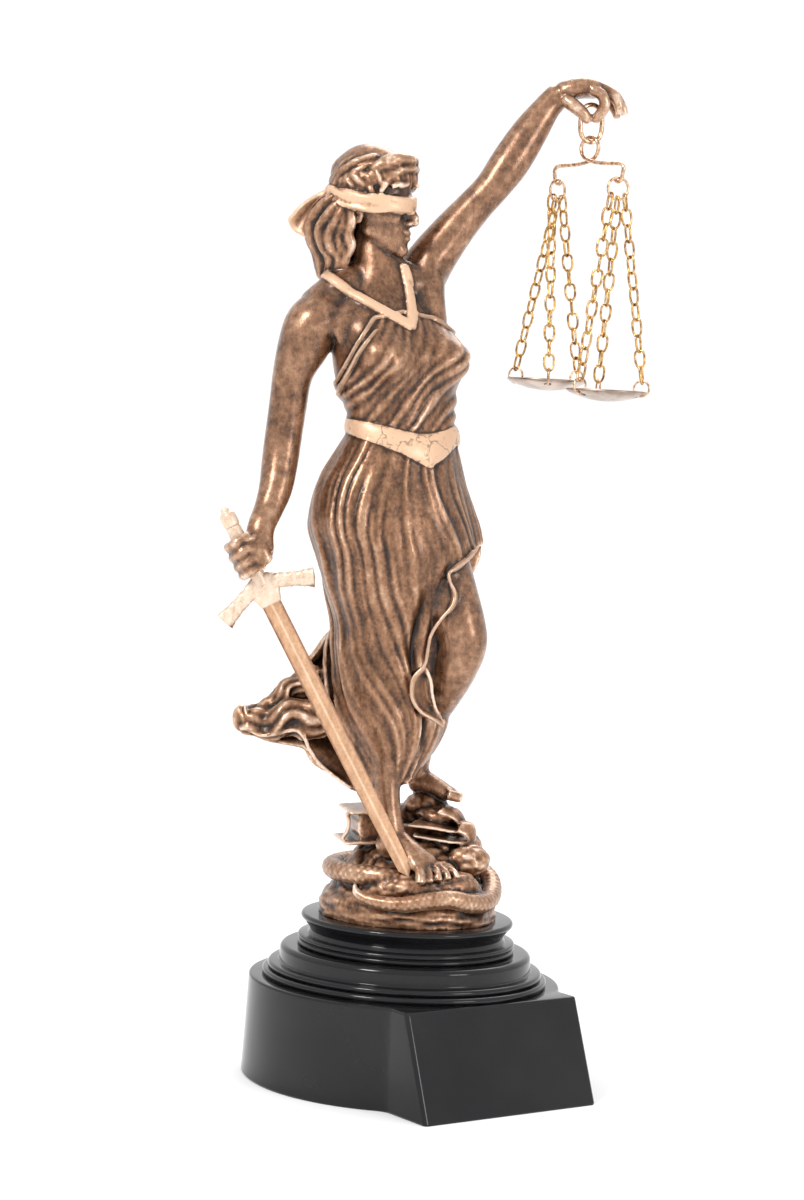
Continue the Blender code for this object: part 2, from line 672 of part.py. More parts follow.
def clothShells():
    # the blown tail of the skirt, its turned hem and the rolled flap below the knee
    tail = [
        [(-20, 8, 160), (-16, 11, 138), (-14, 9, 114), (-13, -1, 99.5)],
        [(-30.5, 7, 152), (-29, 14, 136), (-28, 10, 116), (-22, -3, 97.8)],
        [(-37.5, 3, 143.5), (-37, 12, 131), (-36, 8, 117), (-32, -5, 105)],
        [(-45.5, 4, 134), (-46, 10, 127), (-45, 3, 118.5), (-43.5, -6, 112)],
        [(-55, -1, 126.5), (-55, 6, 122.5), (-54.5, 2, 117), (-54, -5, 113)],
        [(-63, 4, 122.5), (-64.5, 6, 119.5), (-62.5, 3, 116), (-58.5, -3, 113.6)],
    ]
    inner = [
        [(-16, -6, 150), (-14, -10, 130), (-12, -11, 112), (-10, -10, 102)],
        [(-27, -2, 150), (-25, -8, 130), (-22, -9, 114), (-16, -9, 102)],
        [(-31, 5, 149), (-31, 0, 128), (-27, -3, 114), (-20, -6, 101)],
    ]
    lining = [
        (-2.0, 2.0, 200.0, 14.0, 14.0, 0),
        (0.0, 1.0, 172.0, 14.5, 13.0, 0),
        (0.0, 0.0, 146.0, 13.0, 12.0, 0),
        (-2.0, 1.0, 125.0, 11.0, 11.0, 0),
        (-4.0, 2.0, 108.0, 7.0, 8.0, 0),
    ]
    hem = [
        (17.6, -4.0, 183.5),
        (13.0, -11.0, 178.6),
        (8.4, -15.4, 174.6),
        (8.0, -16.4, 171.0),
        (10.4, -16.2, 166.6),
        (7.6, -17.4, 160.4),
        (3.6, -18.0, 153.8),
        (1.8, -18.2, 146.0),
        (1.0, -18.4, 139.6),
        (-0.4, -18.6, 133.0),
        (2.6, -18.2, 127.6),
        (8.6, -15.4, 123.8),
    ]
    flap = [
        [(0.4, -17.6, 139.6), (-1.2, -18.2, 133.0), (2.4, -18.0, 127.4), (9.0, -14.6, 123.8)],
        [(3.6, -14.4, 139.0), (4.8, -14.6, 133.0), (6.2, -14.0, 128.6), (10.0, -12.6, 124.6)],
    ]
    hip = [(-9, -14, 196), (2, -17, 190), (11.5, -12.6, 186), (17.0, -4.0, 184.0)]
    under = [(-9, -17, 178), (0, -18.6, 177), (8.0, -15.2, 175.4), (13.4, -9.4, 178.4)]
    top = [(-7, -12, 210), (3, -14.4, 204), (11.0, -9.0, 198), (15.6, -1.6, 196.0)]
    return [
        tube(lining, 20, 20, ends=(0.1, 0.1)),
        sheet(tail, 2.8, 28),
        sheet(inner, 2.8, 18),
        sheet([top, hip, under], 2.8, 14),
        sheet(flap, 2.2, 10),
        cord(hem, (1.0, 1.0), 8, 60, side=(0, 0, 1)),
    ]


# Mound, book, pages and snake


def rock(angle, z, along):
    lump = np.sin(np.radians(3 * angle) + 0.31 * z) + 0.7 * np.sin(np.radians(7 * angle) - 0.27 * z)
    return 0.55 * lump + 1.4 * pleats(angle / 40.0 + 0.11 * z)


def moundShells():
    foot = nominalTable
    rows = [
        (4.0, 9.0, 94.6, 8.0, 7.0, 0),
        (3.0, 8.0, 93.0, 11.0, 9.0, 0),
        (1.6, 6.5, 87.0, 16.5, 14.0, 0),
        (1.0, 4.0, 80.0, 21.0, 19.5, 0),
        (0.0, 2.0, 73.0, 24.6, 23.6, 0),
        (-0.6, 0.6, 67.0, 26.4, 26.6, 0),
        (-0.4, 0.2, 63.4, 28.6, 28.2, 0),
        (-0.2, 0.0, 60.0, 30.0, 29.6, 0),
        (-0.2, 0.0, foot, 30.4, 30.0, 0),
    ]
    shells = [tube(rows, 84, 48, ends=(0.05, 0.005), shape=rock)]
    shelf = [
        (6.0, -19.0, 74.0, 15.0, 6.0, 12),
        (6.0, -20.0, 70.0, 19.0, 8.0, 12),
        (4.0, -18.0, 64.0, 22.0, 10.0, 8),
        (2.0, -16.0, foot + 1.0, 24.0, 12.0, 6),
    ]
    shells.append(tube(shelf, 40, 20, ends=(0.1, 0.01), shape=rock))
    return shells


def slab(size, centre, turn, tilt):
    bm = bmesh.new()
    bmesh.ops.create_cube(bm, size=1.0)
    move = (
        Matrix.Translation(centre)
        @ Matrix.Rotation(math.radians(turn), 4, "Z")
        @ Matrix.Rotation(math.radians(tilt), 4, "Y")
        @ Matrix.Diagonal((*size, 1.0))
    )
    bmesh.ops.transform(bm, matrix=move, verts=bm.verts[:])
    return bm


def bookShells():
    # a closed book lies at her right heel, and an open one lies under the other foot
    shells = []
    frame = Matrix.Translation((-16.4, 0.5, 87.0)) @ Matrix.Rotation(math.radians(14), 4, "Z")
    tip = Matrix.Rotation(math.radians(-3), 4, "Y")
    parts = (
        ((17.0, 20.0, 10.4), (0.6, 0, 0)),
        ((20.5, 22.6, 2.0), (-0.4, 0, 6.2)),
        ((21.5, 23.0, 2.0), (-1.6, 0, -6.4)),
    )
    for size, shift in parts:
        shell = slab(size, shift, 0, 0)
        bmesh.ops.transform(shell, matrix=frame @ tip, verts=shell.verts[:])
        shells.append(shell)
    pages = (
        ((17.0, 16.0, 4.4), (12.4, 1.0, 84.2), -12, 4),
        ((19.0, 18.0, 1.8), (12.0, 1.6, 87.6), -8, 7),
        ((15.0, 15.0, 3.0), (10.0, 4.0, 91.4), -20, 3),
    )
    for size, centre, turn, tilt in pages:
        shells.append(slab(size, centre, turn, tilt))
    curl = [
        [(6, -9, 86.6), (7, -2, 87.4), (8, 6, 87.6)],
        [(14, -8, 85.6), (15, -2, 86.8), (16, 5, 87.4)],
        [(20, -6, 84.8), (21, -1, 87.6), (21, 4, 88.6)],
        [(22.4, -4.6, 80.6), (23.6, 0, 84.6), (23, 4, 87.0)],
    ]
    shells.append(sheet(curl, 2.0, 10))
    return shells


snakePath = (
    (-19.6, -26.0, 68.8),
    (-16.4, -28.2, 65.2),
    (-10.0, -30.0, 63.0),
    (0.0, -31.2, 62.6),
    (9.0, -30.2, 65.0),
    (17.0, -26.6, 66.6),
    (24.2, -19.0, 65.6),
    (28.0, -8.0, 68.6),
    (27.0, 4.0, 71.8),
    (20.0, 16.0, 72.6),
    (6.0, 24.0, 72.0),
    (-10.0, 23.6, 71.0),
    (-22.0, 15.0, 70.4),
    (-26.4, 2.0, 70.4),
    (-24.6, -9.0, 70.6),
    (-17.6, -18.0, 70.8),
    (-8.0, -22.6, 70.4),
    (1.0, -22.0, 69.6),
)


def snake():
    return cord(snakePath, (0.8, 2.6, 3.6, 4.0, 4.0, 4.0, 4.0, 4.0, 4.0, 3.8, 3.0), 12, 120, side=(0, 0, 1))


def joinShells(shells):
    whole = bmesh.new()
    carrier = bpy.data.meshes.new("carrier")
    for shell in shells:
        shell.to_mesh(carrier)
        whole.from_mesh(carrier)
        shell.free()
    bpy.data.meshes.remove(carrier)
    return whole


def castMesh(shells, voxel, rounds):
    # one hull round all the shells, with its hard creases eased
    carrier = bpy.data.meshes.new("carrier")
    joinShells(shells).to_mesh(carrier)
    helper = bpy.data.objects.new("carrier", carrier)
    bpy.context.scene.collection.objects.link(helper)
    hull = helper.modifiers.new("Hull", "REMESH")
    hull.mode = "VOXEL"
    hull.voxel_size = voxel
    hull.adaptivity = 0.0
    ease = helper.modifiers.new("Ease", "SMOOTH")
    ease.factor = 0.5
    ease.iterations = rounds
    graph = bpy.context.evaluated_depsgraph_get()
    made = bpy.data.meshes.new_from_object(helper.evaluated_get(graph))
    bpy.data.objects.remove(helper, do_unlink=True)
    bm = bmesh.new()
    bm.from_mesh(made)
    bpy.data.meshes.remove(made)
    keepLargest(bm)
    bmesh.ops.triangulate(bm, faces=bm.faces[:])
    return bm


def keepLargest(bm):
    # drops any crumb that isn't part of the main body
    bm.verts.ensure_lookup_table()
    seen, bodies = set(), []
    for first in bm.verts:
        if first.index in seen:
            continue
        body, queue = [], [first]
        seen.add(first.index)
        while queue:
            vert = queue.pop()
            body.append(vert)
            for edge in vert.link_edges:
                other = edge.other_vert(vert)
                if other.index not in seen:
                    seen.add(other.index)
                    queue.append(other)
        bodies.append(body)
    bodies.sort(key=len)
    crumbs = [vert for body in bodies[:-1] for vert in body]
    bmesh.ops.delete(bm, geom=crumbs, context="VERTS")


def figure(finish, cutters):
    shells = [*torso(), belt(), collar(), skirt(), snake()]
    for group in (
        headShells,
        blindfoldShells,
        hairShells,
        rightArmShells,
        rightHandShells,
        leftArmShells,
        leftHandShells,
        legShells,
        clothShells,
        moundShells,
        bookShells,
    ):
        shells += group()
    bm = castMesh(shells, castVoxel, 1)
    bmesh.ops.transform(bm, matrix=figurePlace(), verts=bm.verts[:])
    faceOut(bm)
    made = addObject("figure", bm, finish)
    thin = made.modifiers.new("Thin", "DECIMATE")
    thin.ratio = castFaces / len(made.data.polygons)
    # its foot stands flat on the disc, a small gap above it
    bm = bmesh.new()
    bmesh.ops.create_cube(bm, size=1.0)
    floor = Matrix.Translation((0, 0, baseTop + clearance - 0.05)) @ Matrix.Diagonal((0.2, 0.2, 0.1, 1.0))
    bmesh.ops.transform(bm, matrix=floor, verts=bm.verts[:])
    foot = addObject("figure_foot_cutter", bm, finish)
    hideCutter(foot)
    for cutter in (foot, *cutters):
        boolean(made, cutter, "DIFFERENCE")
    return made


# Base


def blockOutline(radius, reach):
    # half outline from the drum's back round to the middle of the front, then mirrored
    half = blockWidth / 2
    middleX = half + blockFillet
    middleY = -math.sqrt((radius + blockFillet) ** 2 - middleX**2)
    meet = math.atan2(middleY, middleX)
    points = []
    steps = 18
    for step in range(steps + 1):
        angle = math.pi / 2 + (meet - math.pi / 2) * step / steps
        points.append((radius * math.cos(angle), radius * math.sin(angle)))
    for step in range(1, 6):
        angle = meet + math.pi + (math.pi - (meet + math.pi)) * step / 5
        points.append((middleX + blockFillet * math.cos(angle), middleY + blockFillet * math.sin(angle)))
    corner = blockCornerRadius
    for step in range(5):
        angle = -math.pi / 2 * step / 4
        points.append((half - corner + corner * math.cos(angle), -reach + corner + corner * math.sin(angle)))
    mirrored = [(-x, y) for x, y in reversed(points[1:])]
    return points + mirrored


def baseBlock():
    bm = bmesh.new()
    edge = drumEdgeRadius
    levels = [(0.0, 0.0)]
    for step in range(4):
        angle = math.pi / 2 * step / 3
        levels.append((drumHeight - edge + edge * math.sin(angle), edge * (1 - math.cos(angle))))
    rings = []
    for z, inset in levels:
        share = min(z / (drumHeight - edge), 1.0)
        radius = drumFootRadius + (drumTopRadius - drumFootRadius) * share
        reach = blockFootReach + (blockTopReach - blockFootReach) * share
        rings.append([(x, y, z) for x, y in blockOutline(radius, reach)])
        if inset:
            shrink = 1 - inset / drumTopRadius
            rings[-1] = [(x * shrink, y * shrink, z) for x, y, z in rings[-1]]
    loops = [[bm.verts.new(point) for point in ring] for ring in rings]
    for low, high in zip(loops, loops[1:]):
        for step in range(len(low)):
            after = (step + 1) % len(low)
            bm.faces.new((low[step], low[after], high[after], high[step]))
    bm.faces.new(list(reversed(loops[0])))
    bm.faces.new(loops[-1])
    faceOut(bm)
    return bm


def arcPoints(centreR, centreZ, radius, start, end, steps):
    points = []
    for step in range(steps + 1):
        angle = math.radians(start + (end - start) * step / steps)
        points.append((centreR + radius * math.cos(angle), centreZ + radius * math.sin(angle)))
    return points


def riserProfile():
    # from the drum's top up to the disc that carries the figure
    z = drumHeight - 1.0 * mm
    profile = [(0, z), (lowRingRadius, z)]
    z = drumHeight + lowRingHeight / 2
    round_ = lowRingHeight / 2
    profile += arcPoints(lowRingRadius - round_, z, round_, -40, 70, 1)
    z = drumHeight + lowRingHeight
    round_ = secondRingHeight / 2
    profile += arcPoints(secondRingRadius - round_, z + round_, round_, -50, 60, 1)
    z += secondRingHeight
    shoulder = bandHeight * 0.32
    profile += [(bandRadius, z)]
    profile += arcPoints(bandRadius - shoulder, z + bandHeight - shoulder, shoulder, 0, 90, 2)
    z += bandHeight
    round_ = beadHeight / 2
    for _ in range(2):
        profile += arcPoints(beadRadius - round_, z + round_, round_, -50, 50, 1)
        z += beadHeight
    profile += [(neckRadius + 0.6 * mm, z)]
    flare = discRadius - neckRadius
    profile += [(neckRadius, z + neckHeight * 0.5), (neckRadius + flare * 0.25, z + neckHeight * 0.92)]
    z += neckHeight
    round_ = discHeight * 0.28
    profile += [(neckRadius + flare * 0.62, z + discHeight * 0.26)]
    profile += arcPoints(discRadius - round_, z + discHeight - round_, round_, -30, 70, 1)
    profile += [(0, baseTop)]
    return profile


def base(finish):
    made = addObject("base", baseBlock(), finish)
    profile = riserProfile()
    bm = bmesh.new()
    verts = [bm.verts.new((r, 0, z)) for r, z in profile]
    edges = [bm.edges.new(pair) for pair in zip(verts, verts[1:])]
    bmesh.ops.spin(
        bm,
        geom=verts + edges,
        cent=(0, 0, 0),
        axis=(0, 0, 1),
        angle=2 * math.pi,
        steps=28,
        use_merge=True,
    )
    bmesh.ops.remove_doubles(bm, verts=bm.verts[:], dist=1e-6)
    faceOut(bm)
    riser = addObject("base_riser_helper", bm, finish)
    hideCutter(riser)
    boolean(made, riser, "UNION")
    return made


# Sword


def swordShells(grow):
    start = place(*gripMiddle)
    turn = Matrix.Rotation(math.radians(figureTurn), 3, "Z")
    down, _, right = (turn @ axis for axis in gripFrame()[1:])
    guardAt = start + down * gripLength * 0.66
    pommelAt = guardAt - down * gripLength * 1.3
    blade = [
        (*(guardAt - down * 1.0 * mm), bladeWidth / 2 + grow, bladeThickness / 2 + grow),
        (*(guardAt + down * (bladeLength * 0.35)), bladeWidth * 0.5 + grow, bladeThickness * 0.5 + grow),
        (*(guardAt + down * (bladeLength * 0.7)), bladeWidth * 0.45 + grow, bladeThickness * 0.45 + grow),
        (*(guardAt + down * (bladeLength + grow)), bladeWidth * 0.34 + grow, bladeThickness * 0.4 + grow),
    ]
    grip = [
        (*(pommelAt - down * (pommelRadius * 0.8 + grow)), pommelRadius * 0.7 + grow),
        (*(pommelAt - down * pommelRadius * 0.1), pommelRadius + grow),
        (*(pommelAt + down * pommelRadius * 0.8), gripRadius + grow),
        (*(pommelAt + down * pommelRadius * 1.6), pommelRadius * 0.94 + grow),
        (*(pommelAt + down * gripLength * 0.6), gripRadius + grow),
        (*(guardAt + down * 1.0 * mm), gripRadius + grow),
    ]
    shells = [tube(blade, 8, 8, side=tuple(right), power=1.3, ends=(0.01, 0.05), crisp=True)]
    rows = [(*row, row[3]) for row in grip]
    shells.append(tube(rows, 8, 10, side=tuple(right), ends=(0.03, 0.02), crisp=True))
    droop = math.tan(math.radians(guardDroop))
    rows = []
    for step, thick in enumerate((1.25, 0.95, 1.0, 1.3, 1.0, 0.95, 1.25)):
        out = (step / 3 - 1) * (guardSpan + grow)
        point = guardAt + right * out + down * (abs(out) * droop - 1.6 * mm)
        rows.append((*point, guardHeight / 2 * thick + grow, guardDepth / 2 + grow))
    shells.append(tube(rows, 8, 12, side=tuple(down), power=4.0, ends=(0.02, 0.02), crisp=True))
    return shells


def fuseShells(name, shells, finish):
    # overlapping shells made one solid by boolean union
    made = addObject(name, shells[0], finish)
    for index, shell in enumerate(shells[1:]):
        helper = addObject(f"{name}_helper_{index}", shell, finish)
        hideCutter(helper)
        boolean(made, helper, "UNION")
    return made


# Rings, beam, chains and pans


def closedWire(points, radius, sides):
    # a wire that runs round a closed path
    bm = bmesh.new()
    count = len(points)
    points = [Vector(point) for point in points]
    middle = sum(points, Vector()) / count
    normal = (points[0] - middle).cross(points[count // 4] - middle).normalized()
    loops = []
    for step in range(count):
        ahead = (points[(step + 1) % count] - points[step - 1]).normalized()
        out = ahead.cross(normal).normalized()
        up = out.cross(ahead).normalized()
        loop = []
        for side in range(sides):
            angle = math.pi + 2 * math.pi * side / sides
            loop.append(bm.verts.new(points[step] + radius * (math.cos(angle) * out + math.sin(angle) * up)))
        loops.append(loop)
    for step in range(count):
        low, high = loops[step], loops[(step + 1) % count]
        for side in range(sides):
            after = (side + 1) % sides
            bm.faces.new((low[side], low[after], high[after], high[side]))
    faceOut(bm)
    return bm


def ovalPath(centre, across, along, halfWidth, halfLength, count):
    # a link or ring: straight sides joined by half rounds where it is longer than wide
    straight = max(halfLength - halfWidth, 0.0)
    points = []
    for step in range(count):
        angle = 2 * math.pi * (step + 0.5) / count
        lift = straight if math.sin(angle) > 0 else -straight
        points.append(
            Vector(centre)
            + across * halfWidth * math.cos(angle)
            + along * (halfWidth * math.sin(angle) + lift)
        )
    return points


def heldRing():
    # it hangs from the pinch of thumb and forefinger
    middle = place(48.3, 18.2, 329.9)
    across = level(ringTurn)
    halfWidth = (ringInnerWidth + ringWire) / 2
    halfHeight = (ringInnerHeight + ringWire) / 2
    return middle, across, halfWidth, halfHeight


def ringShell(grow):
    middle, across, halfWidth, halfHeight = heldRing()
    path = ovalPath(middle, across, Vector((0, 0, 1)), halfWidth, halfHeight, 14)
    return closedWire(path, ringWire / 2 + grow, 5)


def beamFrame():
    middle, _, _, halfHeight = heldRing()
    ringLow = middle.z - halfHeight
    loopTop = ringLow + ringWire / 2 + clearance + beamWire / 2
    turn = math.radians(figureTurn + beamTurn)
    along = Vector((math.cos(turn), math.sin(turn), 0))
    across = Vector((-along.y, along.x, 0))
    return Vector((middle.x, middle.y, loopTop)), along, across


def beam(finish):
    top, along, across = beamFrame()
    low = -loopHeight + 0.6 * mm
    wide = loopWidth / 2
    part = beamWire * 0.75
    span = beamHalfSpan
    hook = hookRadius
    half = [
        (0, 0, 0),
        (wide * 0.75, 0, -loopHeight * 0.12),
        (wide, part * 0.4, -loopHeight * 0.4),
        (wide * 0.62, part * 0.9, -loopHeight * 0.74),
        (-wide * 0.2, part, low),
        (-wide * 1.3, part * 0.8, low - 0.9 * mm),
        (-span * 0.62, part * 0.3, low - 1.3 * mm),
        (-span + hook, 0, low - 1.5 * mm),
        (-span - 0.2 * mm, 0, low - 2.6 * mm),
        (-span, 0, low - 5.2 * mm),
        (-span + 0.4 * hook, 0, low - 7.2 * mm),
        (-span + 1.4 * hook, 0, low - 7.6 * mm),
        (-span + 2.1 * hook, 0, low - 6.2 * mm),
    ]
    other = [(-x, -y, z) for x, y, z in half[1:]]
    route = [top + along * x + across * y + Vector((0, 0, z)) for x, y, z in reversed(half)]
    route += [top + along * x + across * y + Vector((0, 0, z)) for x, y, z in other]
    rows = [(*point, beamWire / 2, beamWire / 2) for point in route]
    bent = tube(rows, 5, 44, side=tuple(across), ends=(0.004, 0.004), crisp=True)
    return addObject("scale_beam", bent, finish)


def hookLow(side):
    # the lowest inside point of a beam hook, where a ring hangs
    top, along, _ = beamFrame()
    low = -loopHeight + 0.6 * mm - 7.6 * mm
    return top + along * side * (beamHalfSpan - hookRadius) + Vector((0, 0, low + beamWire / 2))


def level(angle):
    # a level direction, as an angle in the figure's own frame
    turn = math.radians(figureTurn + angle)
    return Vector((math.cos(turn), math.sin(turn), 0))


def dishHeight(radius):
    # how far the outside of a pan lies below its rim
    sphere = (panRadius**2 + panDepth**2) / (2 * panDepth)
    return math.sqrt(sphere**2 - radius**2) - sphere + panDepth


def scalePan(side, name, ringTurn, panTurn, hang, finishes):
    wireFinish, chainFinish, panFinish = finishes
    up = Vector((0, 0, 1))
    across = level(ringTurn)
    ringTop = hookLow(side) + up * (clearance + hookRingWire / 2)
    ringMiddle = ringTop - up * hookRingRadius
    path = ovalPath(ringMiddle, across, up, hookRingRadius, hookRingRadius, 10)
    addObject(f"{name}_hook_ring", closedWire(path, hookRingWire / 2, 4), wireFinish)
    rim = ringMiddle - up * (hookRingRadius + hang)
    outs = [level(panTurn + 120 * index) for index in range(3)]
    ranked = sorted(range(3), key=lambda index: outs[index].dot(across))
    holes = []
    for index, out in enumerate(outs):
        # a jump ring goes through the hole and round the rim beside it
        holeRadius = panRadius - panHole
        inside = Vector((holeRadius, panWall / 2 - dishHeight(holeRadius)))
        outside = Vector((panRadius + panRingWire / 2 + clearance * 2, panWall / 2))
        half = (outside - inside) / 2
        lift = math.sqrt(panRingRadius**2 - half.length**2)
        middle = (inside + outside) / 2 + lift * Vector((-half.y, half.x)).normalized()
        ringCentre = rim + out * middle.x + up * middle.y
        path = ovalPath(ringCentre, out, up, panRingRadius, panRingRadius, 8)
        addObject(f"{name}_pan_ring_{index + 1}", closedWire(path, panRingWire / 2, 4), wireFinish)
        spread = math.radians((-ringSpread, 0, ringSpread)[ranked.index(index)])
        radial = math.sin(spread) * across - math.cos(spread) * up
        tangent = math.cos(spread) * across + math.sin(spread) * up
        start = ringMiddle + hookRingRadius * radial
        end = ringCentre + up * panRingRadius
        chain(f"{name}_chain_{index + 1}", start, end, tangent, out, chainFinish)
        holes.append(rim + out * holeRadius)
    pan(f"{name}_pan", rim, holes, panFinish)


def chain(name, start, end, firstTangent, lastTangent, finish):
    # interlinked oval links that touch at their ends, every second one turned a quarter
    ahead = (end - start).normalized()
    start = start - ahead * (hookRingWire / 2 + linkWire / 2 + clearance)
    end = end + ahead * (panRingWire / 2 + linkWire / 2 + clearance)
    pitch = ((end - start).length - linkWire + 2 * touch) / linkCount
    halfLength = pitch / 2 + linkWire / 2 - touch
    first = (firstTangent - firstTangent.dot(ahead) * ahead).normalized()
    last = (lastTangent - lastTangent.dot(ahead) * ahead).normalized()
    other = ahead.cross(first)
    twist = math.atan2(last.dot(other), last.dot(first))
    whole = math.pi / 2 * (linkCount - 1)
    twist += math.pi * round((whole - twist) / math.pi)
    groups = ([], [])
    for index in range(linkCount):
        angle = twist * index / (linkCount - 1)
        normal = first * math.cos(angle) + other * math.sin(angle)
        across = ahead.cross(normal)
        centre = start + ahead * (halfLength + pitch * index)
        path = ovalPath(centre, across, ahead, (linkWidth - linkWire) / 2, halfLength, 6)
        groups[index % 2].append(closedWire(path, linkWire / 2, 3))
    made = addObject(name, joinShells(groups[0]), finish)
    helper = addObject(f"{name}_helper", joinShells(groups[1]), finish)
    hideCutter(helper)
    boolean(made, helper, "UNION")
    return made


def pan(name, rimCentre, holes, finish):
    sphere = (panRadius**2 + panDepth**2) / (2 * panDepth)
    profile = []
    steps = 3
    sweep = math.asin(panRadius / sphere)
    for step in range(steps + 1):
        angle = sweep * step / steps
        profile.append((sphere * math.sin(angle), -sphere * math.cos(angle) + sphere - panDepth))
    inner = [(r * (1 - panWall / sphere), z + panWall) for r, z in reversed(profile)]
    bm = bmesh.new()
    verts = [bm.verts.new((r, 0, z)) for r, z in profile + inner]
    edges = [bm.edges.new(pair) for pair in zip(verts, verts[1:])]
    bmesh.ops.spin(
        bm, geom=verts + edges, cent=(0, 0, 0), axis=(0, 0, 1), angle=2 * math.pi, steps=18, use_merge=True
    )
    bmesh.ops.remove_doubles(bm, verts=bm.verts[:], dist=1e-6)
    faceOut(bm)
    bmesh.ops.translate(bm, vec=rimCentre, verts=bm.verts[:])
    made = addObject(name, bm, finish)
    for index, hole in enumerate(holes):
        drill = bmesh.new()
        bmesh.ops.create_cone(
            drill,
            cap_ends=True,
            segments=8,
            radius1=panHole / 2,
            radius2=panHole / 2,
            depth=panDepth * 3,
            matrix=Matrix.Translation(hole),
        )
        cutter = addObject(f"{name}_cutter_{index}", drill, finish)
        hideCutter(cutter)
        boolean(made, cutter, "DIFFERENCE")
    return made


def build():
    clearScene()
    black = material("blackGloss", (0.014, 0.014, 0.015), 0.18, 0.0)
    bronze = material("bronzeCast", (0.22, 0.115, 0.06), 0.42, 0.55)
    gold = material("goldPaint", (0.62, 0.40, 0.23), 0.4, 0.5)
    brass = material("brassWire", (0.42, 0.27, 0.15), 0.3, 1.0)
    amber = material("goldChain", (0.80, 0.46, 0.13), 0.28, 1.0)
    dish = material("brassPan", (0.36, 0.29, 0.24), 0.35, 1.0)
    base(black)
    fuseShells("sword", swordShells(0.0), gold)
    cutters = []
    for index, shell in enumerate(swordShells(clearance)):
        cutter = addObject(f"sword_cutter_{index}", shell, gold)
        hideCutter(cutter)
        cutters.append(cutter)
    addObject("hanging_ring", ringShell(0.0), brass)
    cutter = addObject("ring_cutter", ringShell(clearance), brass)
    hideCutter(cutter)
    cutters.append(cutter)
    figure(bronze, cutters)
    beam(brass)
    finishes = (brass, amber, dish)
    scalePan(-1, "left", leftRingTurn, leftPanTurn, leftHang, finishes)
    scalePan(1, "right", rightRingTurn, rightPanTurn, rightHang, finishes)


build()
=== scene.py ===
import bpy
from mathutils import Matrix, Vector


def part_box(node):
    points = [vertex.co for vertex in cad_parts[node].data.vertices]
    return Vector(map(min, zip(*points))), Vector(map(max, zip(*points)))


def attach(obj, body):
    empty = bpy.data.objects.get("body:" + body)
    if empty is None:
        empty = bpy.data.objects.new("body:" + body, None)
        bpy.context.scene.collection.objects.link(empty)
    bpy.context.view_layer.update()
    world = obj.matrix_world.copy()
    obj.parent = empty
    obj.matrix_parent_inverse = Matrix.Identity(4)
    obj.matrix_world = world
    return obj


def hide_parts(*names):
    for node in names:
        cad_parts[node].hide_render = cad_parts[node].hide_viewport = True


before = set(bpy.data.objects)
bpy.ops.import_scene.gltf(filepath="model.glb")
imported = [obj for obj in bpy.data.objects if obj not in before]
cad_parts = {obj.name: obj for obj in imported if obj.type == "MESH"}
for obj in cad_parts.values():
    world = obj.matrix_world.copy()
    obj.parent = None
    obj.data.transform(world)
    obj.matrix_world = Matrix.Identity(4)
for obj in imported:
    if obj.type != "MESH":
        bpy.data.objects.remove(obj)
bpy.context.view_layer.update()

import math

import bmesh
import bpy
import numpy as np
from mathutils import Matrix, Vector, noise
from mathutils.bvhtree import BVHTree

mm = 0.001
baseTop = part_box("base")[1][2]

# The figure's numbers are millimetres in its own frame: x across the pose, y to the back,
# z up from the floor.
pose = {"turn": -37.4, "table": 55.9, "torsoTurn": 35.0, "seat": 0.05}
torsoTurn = pose["torsoTurn"]


def report(stage):
    print(f"stage: {stage}")


# Curves and shells


def splined(before, start, end, after, part):
    # a smooth curve through start and end, led by their neighbours
    bend = 2 * before - 5 * start + 4 * end - after
    rest = 3 * start - before - 3 * end + after
    return 0.5 * (2 * start + (end - before) * part + bend * part**2 + rest * part**3)


def stepsAt(at, last):
    # the whole step below each place from 0 to 1, and what is left over
    spot = np.clip(at, 0, 1) * last
    low = np.minimum(spot.astype(int), last - 1)
    return (np.maximum(low - 1, 0), low, low + 1, np.minimum(low + 2, last)), (spot - low)[:, None]


def blend(rows, at):
    rows = np.asarray(rows, float)
    near, part = stepsAt(at, len(rows) - 1)
    return splined(*(rows[index] for index in near), part)


def unitRows(vectors):
    return vectors / np.maximum(np.linalg.norm(vectors, axis=1, keepdims=True), 1e-9)


def readPoints(bm):
    return np.array([vert.co[:] for vert in bm.verts])


def faceOut(bm):
    bmesh.ops.recalc_face_normals(bm, faces=bm.faces[:])
    if bm.calc_volume(signed=True) < 0:
        bmesh.ops.reverse_faces(bm, faces=bm.faces[:])


def movePoints(bm, points):
    for vert, point in zip(bm.verts, points):
        vert.co = point
    faceOut(bm)


